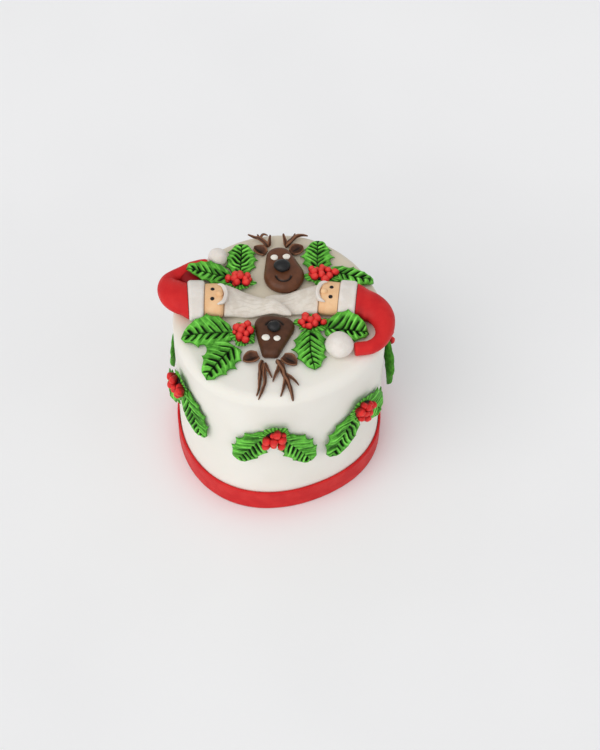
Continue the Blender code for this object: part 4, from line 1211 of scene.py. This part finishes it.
def make_face(word, spot, stations, shift, seed, finishes):
    """A plain smooth face with a button nose and two beads for eyes."""
    face = stations((
        (-GAP, shift, FACE_HALF, FACE_HEIGHT, 0.0),
        (-0.5 * FACE_LENGTH, shift, FACE_HALF + 0.2, FACE_HEIGHT + 0.2, 0.0),
        (-FACE_LENGTH, shift, FACE_HALF, FACE_HEIGHT - 0.2, 0.0),
    ))
    skin = roll(catmull(face, 6), 0.4, 3.0, plain_relief(seed + 4, 0.14, 8.0), 0.6, 64)
    middle = (*spot(NOSE_FORWARD - FACE_LENGTH, shift), GAP + 0.96 * FACE_HEIGHT)
    nose = ball(middle, (BUTTON_NOSE,) * 3, above_top, 32, 20, lump=0.06, seed=seed)
    piece_of(f"face_{word}_fine", joined([skin, nose]), f"face_{word}", finishes["face"])
    beads = []
    for across in (-BEAD_APART * FACE_HALF, BEAD_APART * FACE_HALF):
        middle = (*spot(-BEAD_DOWN * FACE_LENGTH, shift + across), GAP + 0.955 * FACE_HEIGHT + 0.1)
        beads.append(ball(middle, (BEAD_RADIUS, BEAD_RADIUS, 1.2), above_top, 24, 14))
    piece_of(f"face_{word}_beads", joined(beads), f"face_{word}", finishes["bead"])


def hat_stations(first, bend, arm):
    """Stations of a hat: out of the brim, round its bend and along its arm."""
    rows = [first]
    pivot, inner, fan = bend
    for bearing, wide, high in catmull(fan, 8):
        out = math.radians(bearing)
        rows.append((pivot[0] + (inner + wide) * math.cos(out), pivot[1] + (inner + wide) * math.sin(out),
                     out + math.pi, wide, high, 0.0))
    before_x, before_y = rows[-1][:2]
    for x, y, wide, high in arm:
        rows.append((x, y, math.atan2(y - before_y, x - before_x) - math.pi / 2.0, wide, high, 0.0))
        before_x, before_y = x, y
    turned = [first]
    for x, y, bearing, *rest in rows[1:]:
        before = turned[-1][2]
        bearing = before + (bearing - before + math.pi) % (2.0 * math.pi) - math.pi
        turned.append((x, y, bearing, *rest))
    return turned


def make_bearded(word, sizes, finishes):
    """A bearded head in a red hat, lying on its back."""
    pale = finishes["pale_paste"]
    turn = math.radians(sizes["turn"])
    brow = Vector(sizes["brow"])
    along = Vector((math.cos(turn), math.sin(turn)))
    right = turn - math.pi / 2.0
    side = Vector((math.cos(right), math.sin(right)))
    seed = 1 if word == "left" else 2

    def spot(forward, across):
        place = brow + along * forward + side * across
        return place.x, place.y

    def stations(rows):
        return [(*spot(forward, across), right, *rest) for forward, across, *rest in rows]

    half = sizes["brim_half"]
    length = sizes["brim_length"]
    skew = math.radians(sizes["brim_turn"])
    brim = stations(((0.0, 0.0, half, BRIM_HEIGHT, 0.0), (length, 0.0, half, BRIM_HEIGHT, 0.0)))
    brim[1] = (*brim[1][:2], right + skew, *brim[1][3:])
    skin = roll(brim, 2.2, 2.2, plain_relief(seed, 0.25, 7.0), 0.6, 64)
    piece_of(f"brim_{word}_fine", skin, f"brim_{word}", pale)

    shift = sizes["face_shift"]
    make_face(word, spot, stations, shift, seed, finishes)
    make_moustache(word, spot, shift, pale)

    start = -FACE_LENGTH - GAP
    beard = stations(catmull([(start - forward, *rest) for forward, *rest in sizes["beard"]], 8))
    skin = roll(beard, 1.2, 1.2, hair_relief(seed), 0.7, 120)
    piece_of(f"beard_{word}_fine", skin, f"beard_{word}", finishes["beard"])

    first = (*spot(length + GAP, 0.0), right + skew, half - HAT_NARROWER, BRIM_HEIGHT - HAT_LOWER, 0.0)
    hat = hat_stations(first, sizes["bend"], sizes["arm"])
    skins = [roll(hat, 0.6, 1.6, fold_relief(sizes["folds"], seed), 0.8, 56)]
    for x, y, wide, tall in sizes["shaded_tucks"]:
        # painted shade: a dark ball of red paste that fills the gap inside the bend
        skins.append(ball((x, y, GAP + 0.5 * tall), (wide, wide, 0.5 * tall), above_top, painted_shading=0.75))
    piece_of(f"hat_{word}_fine", joined(skins), f"hat_{word}", finishes["red_paste"])

    x, y, wide, high = sizes["pompom"]
    middle = (x, y, GAP + 0.9 * high)
    pompom = ball(middle, (wide, wide, high), above_top, 56, 36, GAP, lump=0.05, seed=seed + 6)
    piece_of(f"pompom_{word}_fine", pompom, f"pompom_{word}", pale)


# Studio


def make_camera():
    """The camera, which stands in front of the cake and looks down on it."""
    down, yaw, roll_turn = (math.radians(angle) for angle in (CAMERA_DOWN, CAMERA_YAW, CAMERA_ROLL))
    ahead = Vector((math.sin(yaw) * math.cos(down), math.cos(yaw) * math.cos(down), -math.sin(down)))
    right = Vector((math.cos(yaw), -math.sin(yaw), 0.0))
    up = right.cross(ahead)
    level = right * math.cos(roll_turn) + up * math.sin(roll_turn)
    upright = up * math.cos(roll_turn) - right * math.sin(roll_turn)
    data = bpy.data.cameras.new("camera")
    data.lens = CAMERA_LENS
    camera = bpy.data.objects.new("camera", data)
    turned = Matrix((level, upright, -ahead)).transposed().to_4x4()
    camera.matrix_world = Matrix.Translation(Vector(CAMERA_PLACE) * MM) @ turned
    bpy.context.scene.collection.objects.link(camera)
    bpy.context.scene.camera = camera


def make_light(name, bearing, height, spread, strength, colour):
    """A broad soft light from far away, from a bearing and a height in degrees."""
    data = bpy.data.lights.new(name, "SUN")
    data.angle = math.radians(spread)
    data.energy = strength
    data.color = colour
    light = bpy.data.objects.new(name, data)
    up = math.radians(height)
    way = polar(math.cos(up), math.radians(bearing), math.sin(up))
    light.rotation_euler = way.to_track_quat("Z", "Y").to_euler()
    bpy.context.scene.collection.objects.link(light)


def make_studio():
    """A pale floor, soft lights and an even pale surround."""
    bpy.ops.mesh.primitive_plane_add(size=FLOOR_SIZE)
    floor = bpy.context.object
    floor.name = "floor"
    paper = Paste("floor_paper")
    paper.colour(paper.mix(paper.blotches(FLOOR_BLOTCH), *FLOOR_TONES))
    paper.shader.inputs["Roughness"].default_value = FLOOR_ROUGHNESS
    floor.data.materials.append(paper.material)
    floor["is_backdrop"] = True
    world = bpy.data.worlds.new("surround")
    world.use_nodes = True
    sky = world.node_tree.nodes["Background"].inputs
    sky["Color"].default_value = (*SURROUND, 1.0)
    sky["Strength"].default_value = SURROUND_STRENGTH
    bpy.context.scene.world = world
    for name, light in LIGHTS.items():
        make_light(name, *light)
    bpy.context.scene.view_settings.view_transform = "Standard"


def main():
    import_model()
    solid_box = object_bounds()
    finishes = make_finishes()
    make_cake(finishes)
    make_ribbon(finishes)
    make_holly(finishes)
    make_reindeer(finishes)
    for word, sizes in BEARDED.items():
        make_bearded(word, sizes, finishes)
    make_camera()
    make_studio()
    sizes = {"cad": [list(corner) for corner in solid_box], "visual": [list(corner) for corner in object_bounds()]}


main()
